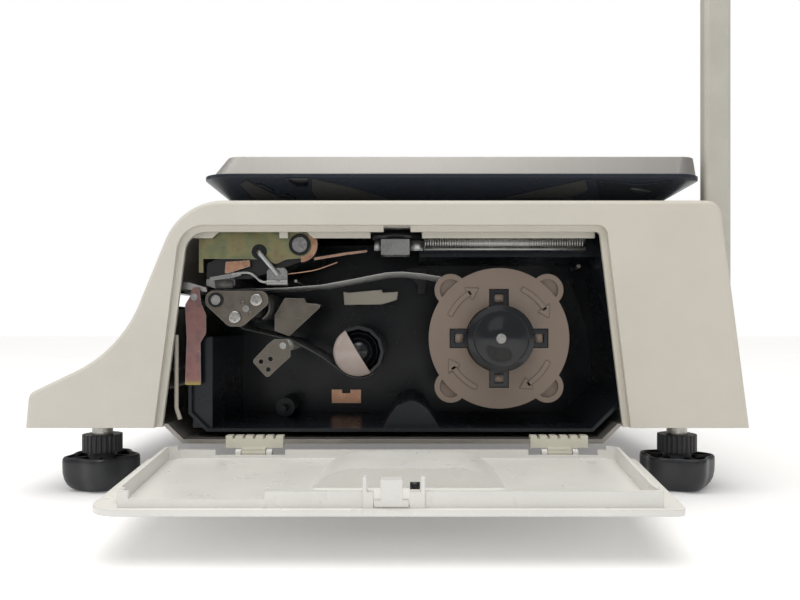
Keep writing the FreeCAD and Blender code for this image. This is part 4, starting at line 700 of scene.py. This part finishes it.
def guide_shell():
    """Ribbed grey half shell round the feed roller's back."""
    start, sweep = math.radians(-60.0), math.radians(140.0)
    ribs, rib_angle = 26, 0.05
    wall = [(8.1, 18.0), (8.9, 18.0), (8.9, 78.0), (8.1, 78.0)]
    rib = [(8.8, 18.4), (9.25, 18.4), (9.25, 77.6), (8.8, 77.6)]
    shape = bmesh.new()
    add_turned(shape, GUIDE_AXIS, wall, 40, start, True, sweep)
    for i in range(ribs):
        turn = start + sweep * (i + 0.5) / ribs
        add_turned(shape, GUIDE_AXIS, rib, 2, turn, True, rib_angle)
    return from_bmesh("guide_shell", shape, "case", "ribbed_plastic")


def clip_dome(rim, front, bow, steps=14):
    """Radius and depth down a shallow dome, from its rim to its middle."""
    dome = []
    for i in range(steps):
        radius = rim * (1 - i / steps)
        dome.append((radius, front + bow - math.sqrt(bow * bow - radius * radius)))
    return dome


def rewinder_faces():
    """Twelve-sided winding core, its stepped black hub and the glossy half dome over one side."""
    sides = 12
    corner = 15.6 / math.cos(math.pi / sides)
    core = [(13.6, 21.6), (13.9, 21.0), (corner - 0.4, 21.0), (corner, 21.5), (corner, 84.0)]
    core += [(5.0, 84.0), (5.0, 40.0), (13.6, 34.0)]
    form = {"steps": sides, "hollow": True}
    ring = turned_piece("winding_core", REWIND_AXIS, core, "rewinder", "hub_plastic", **form)
    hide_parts("rewind_spindle")
    cone = [(13.4, 34.0), (13.4, 31.0), (11.6, 28.6), (11.2, 29.4), (8.2, 26.4), (7.8, 27.2)]
    cone += [(4.2, 24.0), (2.0, 23.4), (1.9, 22.2), (0.9, 21.9)]
    turned_piece("winding_hub", REWIND_AXIS, cone, "rewinder", "hub_plastic")
    rim, front, back, middle = 15.0, 15.4, 21.9, 0.05
    section = [(rim, back), (rim + 0.2, 21.2)] + clip_dome(rim, front, 23.8)
    section += [(middle, front), (middle, back)]
    half = {"phase": math.radians(121.0), "sweep": math.pi, "hollow": True}
    turned_piece("liner_clip", REWIND_AXIS, section, "rewinder", "clip_plastic", **half)


def spool_arrows():
    """Four raised arrows round the spool flange."""
    face = (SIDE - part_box("spool_flange")[1].x) / MM
    depths = (face - 0.8, face + 0.2)
    shape = bmesh.new()
    for quarter in range(4):
        middle = TURN * quarter / 4 + TURN / 8
        bar = []
        for radius, span in ((35.0, 0.30), (31.6, -0.30)):
            for i in range(9):
                turn = middle + 0.06 + span * (1 - 2 * i / 8)
                bar.append(spot(SPOOL_AXIS, radius, turn))
        add_sheet(shape, bar, depths)
        tip = middle - 0.24
        corners = ((38.0, tip + 0.06), (28.6, tip + 0.06), (33.3, tip - 0.17))
        add_sheet(shape, [spot(SPOOL_AXIS, radius, turn) for radius, turn in corners], depths)
    bmesh.ops.recalc_face_normals(shape, faces=shape.faces)
    ease_edges(shape, 0.35 * MM)
    return from_bmesh("flange_arrows", shape, "spool_flange", "spool_plastic")


def spool_details():
    """Tongues in the lug windows, webs behind the ears, and the steps of the black knob."""
    for quarter in range(4):
        turn = TURN * quarter / 4
        out = (math.cos(turn), math.sin(turn))
        across = (-out[1], out[0])
        outline = []
        for reach, half in ((22.0, -2.7), (22.0, 2.7), (27.0, 2.7), (27.0, -2.7)):
            outline.append((
                SPOOL_AXIS[0] + reach * out[0] + half * across[0],
                SPOOL_AXIS[1] + reach * out[1] + half * across[1],
            ))
        sheet_piece("lug_tongue_%d" % quarter, outline, (22.2, 23.4), "spool_flange", "spool_plastic", 0.5)
        ear = spot(SPOOL_AXIS, 42.1, turn + TURN / 8)
        turned_piece("ear_web_%d" % quarter, ear, [(7.0, 25.9), (7.0, 25.2)], "spool_flange", "spool_plastic")
    knob = [(20.1, 11.2), (18.0, 10.3), (16.6, 10.05), (16.2, 10.5), (9.0, 10.1), (8.6, 9.8)]
    knob += [(3.1, 9.6), (3.1, 11.6), (19.0, 12.6)]
    turned_piece("knob_face", SPOOL_AXIS, knob, "spool", "hub_plastic", hollow=True, steps=64)


# ---------------------------------------------------------------- ceiling, tray, deck and feet


def plate(name, y, z, depths, slot):
    """A rectangular plate on the case, from its ranges of Y and Z."""
    outline = ((y[0], z[0]), (y[1], z[0]), (y[1], z[1]), (y[0], z[1]))
    return sheet_piece(name, outline, depths, "case", slot)


def ceiling_faces():
    """Ribbed face, lip and ends of the rail in brighter metal, the lip's brightness a painted highlight along
    the rail's edge; a black plate as painted shade in the latch's pocket, and the screen behind the strike.
    """
    rail = (21.5, 118.9)
    ribs, pitch, rib_width = 64, 1.5, 0.8
    shape = bmesh.new()
    add_block(shape, (12.6, 13.1), rail, (146.6, 153.0))
    for i in range(ribs):
        start = rail[0] + 0.7 + i * pitch
        add_block(shape, (12.35, 12.7), (start, start + rib_width), (147.0, 152.6))
    from_bmesh("rail_face", shape, "case", "zinc_plain")
    # the lip's brighter metal is a painted highlight along the rail's lower edge
    plate("rail_lip_painted_highlight", rail, (144.9, 146.4), (12.0, 13.1), "supply_metal")
    plate("rail_end_left", (-8.6, -4.3), (144.9, 151.0), (15.2, 16.0), "supply_metal")
    plate("rail_end_right", (13.1, 21.2), (144.9, 151.0), (15.2, 16.0), "supply_metal")
    # a black plate in the latch's way: painted shade for the dark slot
    pocket = bmesh.new()
    add_block(pocket, (-120.5, -119.6), (13.2, 17.4), (29.6, 33.2))
    from_bmesh("latch_pocket_painted_shade", pocket, "door", "hub_plastic")
    plate("strike_screen", (-9.4, 19.6), (151.3, 158.0), (16.2, 17.2), "head_plastic")


# Facets and slots on the tray's sloping side, the facets in a lighter finish partly as painted reflection of
# the case top, the slots as dark plates of painted shade: name, outline as Y and share of the slope, slot
TRAY_FACETS = (
    ("tray_facet_front_painted_reflection", ((-89.1, 0.24), (-84.2, 0.09), (-65.3, 0.79), (-82.6, 0.79)), "roller_rubber"),
    ("tray_slot_front", ((-79.5, 0.24), (-75.9, 0.24), (-69.1, 0.49), (-72.1, 0.49)), "hub_plastic"),
    ("tray_slot_low", ((-66.4, 0.60), (-62.8, 0.60), (-56.7, 0.79), (-62.2, 0.79)), "hub_plastic"),
    ("tray_lobe", ((-61.2, 0.02), (-47.2, 0.02), (-48.5, 0.31), (-55.0, 0.31)), "hub_plastic"),
    ("tray_facet_middle_painted_reflection", ((-45.2, 0.02), (-23.1, 0.34), (-0.4, 0.79), (-43.7, 0.79), (-46.5, 0.46)),
     "roller_rubber"),
    ("tray_wedge_painted_reflection", ((71.8, 0.75), (117.6, 0.06), (121.4, 0.46), (110.7, 0.75)), "roller_rubber"),
    ("tray_arm_rear", ((124.9, 0.09), (151.6, 0.24), (170.5, 0.12), (164.0, 0.79), (130.6, 0.79)),
     "bay_plastic"),
    ("tray_slot_rear", ((144.9, 0.42), (148.1, 0.34), (159.7, 0.46), (157.1, 0.60)), "socket_plastic"),
)


def tray_facets():
    """Low facets and slots on the tray's side, each lying along the slope; the facets' lighter finish is
    partly painted reflection of the case top, the slots' dark plates are painted shade.
    """
    rim_depth, rim_z, run, drop = 6.5, 187.7, 22.0, 12.5
    slope = math.hypot(run, drop)
    sunk, facet_lift, slot_lift = -0.3, 0.7, 1.1
    for name, outline, slot in TRAY_FACETS:
        lift = slot_lift if "slot" in name else facet_lift
        rows = []
        for height in (sunk, lift):
            row = []
            for y, share in outline:
                depth = rim_depth + run * share - height * drop / slope
                row.append(at(depth, y, rim_z - drop * share - height * run / slope))
            rows.append(row)
        shape = bmesh.new()
        add_prism(shape, *rows)
        bmesh.ops.recalc_face_normals(shape, faces=shape.faces)
        ease_edges(shape, 0.25 * MM)
        # lighter facets are partly painted reflection, darker slot plates are painted shade
        from_bmesh(name, shape, "case", slot)


def deck_place(run):
    """Y, Z and heading on the key deck, this many millimetres up from its front corner."""
    start, straight, bend = (-210.9, 59.7), 29.9, 76.0
    heading = math.atan2(25.5, 53.6)
    along = min(run, straight)
    y = start[0] + along * math.cos(heading)
    z = start[1] + along * math.sin(heading)
    if run <= straight:
        return y, z, heading
    turned_to = heading + (run - straight) / bend
    y += bend * (math.sin(turned_to) - math.sin(heading))
    z += bend * (math.cos(heading) - math.cos(turned_to))
    return y, z, turned_to


def key_pads():
    """Rows of blank keys on the panel."""
    columns, rows = 14, 4
    first_row, row_pitch, key_run = 11.0, 11.4, 9.0
    gap_share, key_share = 0.12, 0.76
    foot, top = 0.7, 1.5
    low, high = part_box("keypad_panel")
    pitch = (high.x - low.x) / MM / columns
    shape = bmesh.new()
    for column in range(columns):
        right = SIDE / MM - (low.x / MM + pitch * (column + gap_share))
        depths = (right - pitch * key_share, right)
        for row in range(rows):
            corners = []
            for run, lift in ((0.0, foot), (key_run, foot), (key_run, top), (0.0, top)):
                y, z, heading = deck_place(first_row + row * row_pitch + run)
                corners.append((y - lift * math.sin(heading), z + lift * math.cos(heading)))
            add_sheet(shape, corners, depths)
    bmesh.ops.recalc_face_normals(shape, faces=shape.faces)
    ease_edges(shape, 0.3 * MM, limit=50.0)
    return from_bmesh("key_pads", shape, "case", "pole_metal")


# Turned outlines of a foot: radius, height, and share of the five lobes
KNOB = (
    (13.0, 0.0, 0.2), (15.4, 0.4, 0.4), (18.2, 2.0, 0.8), (20.3, 4.2, 1.0), (21.8, 7.2, 1.0),
    (22.7, 11.0, 1.0), (22.9, 17.6, 1.0), (22.7, 19.6, 1.0), (21.9, 20.5, 1.0), (20.9, 20.5, 1.0),
    (20.2, 19.8, 1.0), (19.6, 17.4, 1.0), (11.5, 16.8, 0.2), (9.2, 17.6, 0.0), (8.3, 20.4, 0.0),
    (8.0, 22.0, 0.0), (6.2, 22.05, 0.0), (6.2, 12.0, 0.0),
)
STUD = ((5.4, 12.2, 0.0), (6.1, 12.6, 0.0), (6.1, 57.4, 0.0), (5.5, 58.0, 0.0))
LOBES = 5
LOBE_DEPTH = 0.17
FOOT_FRONT_Y = -176.2
FOOT_REAR_Y = 177.6


def upright_shape(centre, profile, lobes=0.0, steps=80):
    """A shape turned about Z, pressed in between its lobes by this share of its radius."""
    shape = bmesh.new()
    rings = []
    for radius, height, share in profile:
        ring = []
        for i in range(steps):
            turn = TURN * i / steps
            press = 0.5 * (1 - math.cos(LOBES * (turn - TURN / 4)))
            reach = radius * (1 - lobes * share * press) * MM
            place = (centre.x + reach * math.cos(turn), centre.y + reach * math.sin(turn), height * MM)
            ring.append(shape.verts.new(place))
        rings.append(ring)
    cap_rings(shape, rings)
    return shape


def knob_ribs(centre):
    """Flat ribs in the knob's hollow top, one to each lobe."""
    inner, outer, half_width, heights = 8.6, 20.2, 0.8, (16.4, 19.9)
    shape = bmesh.new()
    for i in range(LOBES):
        turn = TURN * i / LOBES + TURN / 4
        out = Vector((math.cos(turn), math.sin(turn), 0.0))
        across = Vector((-out.y, out.x, 0.0)) * half_width * MM
        levels = []
        for height in heights:
            lift = Vector((0.0, 0.0, height * MM))
            near = centre + out * inner * MM + lift
            far = centre + out * outer * MM + lift
            levels.append([near - across, near + across, far + across, far - across])
        add_prism(shape, *levels)
    return shape


def feet():
    """Lobed knobs with a hollow top and ribs, each on its steel stud."""
    for body in ("foot_front_near", "foot_front_far", "foot_rear_near", "foot_rear_far"):
        low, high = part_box(body)
        y = FOOT_FRONT_Y if "front" in body else FOOT_REAR_Y
        centre = Vector(((low.x + high.x) / 2, y * MM, 0.0))
        shape = upright_shape(centre, KNOB, LOBE_DEPTH)
        knob = from_bmesh(body + "_knob", shape, body, "foot_plastic")
        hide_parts(body)
        from_bmesh(body + "_stud", upright_shape(centre, STUD, steps=40), body, "screw_steel")
        from_bmesh(body + "_ribs", knob_ribs(centre), body, "foot_plastic")


# ---------------------------------------------------------------- studio


def floor():
    """Plain pale floor."""
    shape = bmesh.new()
    bmesh.ops.create_grid(shape, x_segments=8, y_segments=8, size=6.0)
    mesh = bpy.data.meshes.new("floor")
    shape.to_mesh(mesh)
    shape.free()
    made = bpy.data.objects.new("floor", mesh)
    bpy.context.scene.collection.objects.link(made)
    finish = Finish("floor_finish", (0.95, 0.95, 0.95), 0.6, specular=0.2)
    finish.constant("Emission Color", (1.0, 1.0, 1.0, 1.0))
    finish.constant("Emission Strength", 0.14)
    finish.drive("Roughness", finish.span(finish.noise(0.3, 3.0), 0.3, 0.7, 0.55, 0.7))
    mesh.materials.append(finish.material)


def area_light(name, place, target, size, power, colour=(1.0, 1.0, 1.0)):
    data = bpy.data.lights.new(name, "AREA")
    data.shape = "RECTANGLE"
    data.size, data.size_y = size
    data.energy = power
    data.color = colour
    lamp = bpy.data.objects.new(name, data)
    bpy.context.scene.collection.objects.link(lamp)
    lamp.location = place
    lamp.rotation_euler = (Vector(target) - Vector(place)).to_track_quat("-Z", "Y").to_euler()


def lights():
    """A broad soft sky light, a softbox overhead, a weak fill by the door, and a pale surround."""
    data = bpy.data.lights.new("sky", "SUN")
    data.angle = 1.2
    data.energy = 1.8
    data.color = (1.0, 0.985, 0.955)
    sky = bpy.data.objects.new("sky", data)
    sky.rotation_euler = (0.05, 0.10, 0.0)
    bpy.context.scene.collection.objects.link(sky)
    area_light("overhead", (0.3, -0.2, 1.8), (0.1, 0.0, 0.0), (1.8, 1.8), 4.0, (1.0, 0.985, 0.96))
    area_light("door_fill", (1.6, -0.3, 1.1), (0.1, 0.0, 0.1), (1.4, 0.8), 1.6)
    area_light("door_top", (0.36, 0.0, 0.75), (0.24, 0.0, 0.0), (0.3, 0.6), 0.35, (1.0, 0.99, 0.97))
    area_light("front_glow", (0.4, -1.6, 0.9), (0.1, 0.0, 0.1), (1.0, 0.9), 2.0, (1.0, 0.97, 0.93))
    world = bpy.data.worlds.new("studio")
    world.use_nodes = True
    bpy.context.scene.world = world
    nodes = world.node_tree.nodes
    links = world.node_tree.links
    surround = nodes["Background"]
    surround.inputs["Color"].default_value = (0.985, 0.985, 1.0, 1.0)
    surround.inputs["Strength"].default_value = 0.36
    seen = nodes.new("ShaderNodeBackground")
    seen.inputs["Color"].default_value = (1.0, 1.0, 1.0, 1.0)
    seen.inputs["Strength"].default_value = 1.0
    path = nodes.new("ShaderNodeLightPath")
    choose = nodes.new("ShaderNodeMixShader")
    links.new(path.outputs["Is Camera Ray"], choose.inputs["Fac"])
    links.new(surround.outputs["Background"], choose.inputs[1])
    links.new(seen.outputs["Background"], choose.inputs[2])
    links.new(choose.outputs["Shader"], nodes["World Output"].inputs["Surface"])


CAMERA_DISTANCE = 0.437  # from the printer-side wall
CAMERA_Y = 0.0132
CAMERA_Z = 0.0999


def camera():
    """Level view at the middle of the printer door, close enough for its perspective."""
    data = bpy.data.cameras.new("camera")
    data.lens = 33.6
    data.sensor_width = 36.0
    data.shift_x = -0.0125
    data.shift_y = 0.03125
    data.clip_start = 0.01
    made = bpy.data.objects.new("camera", data)
    bpy.context.scene.collection.objects.link(made)
    made.location = (SIDE + CAMERA_DISTANCE, CAMERA_Y, CAMERA_Z)
    made.rotation_euler = (math.pi / 2, 0.0, math.pi / 2)
    bpy.context.scene.camera = made


paint_nodes()
head_trim()
side_screws()
guide_shell()
rewinder_faces()
spool_arrows()
spool_details()
ceiling_faces()
tray_facets()
key_pads()
feet()
floor()
lights()
camera()
bpy.context.scene.view_settings.view_transform = "Standard"
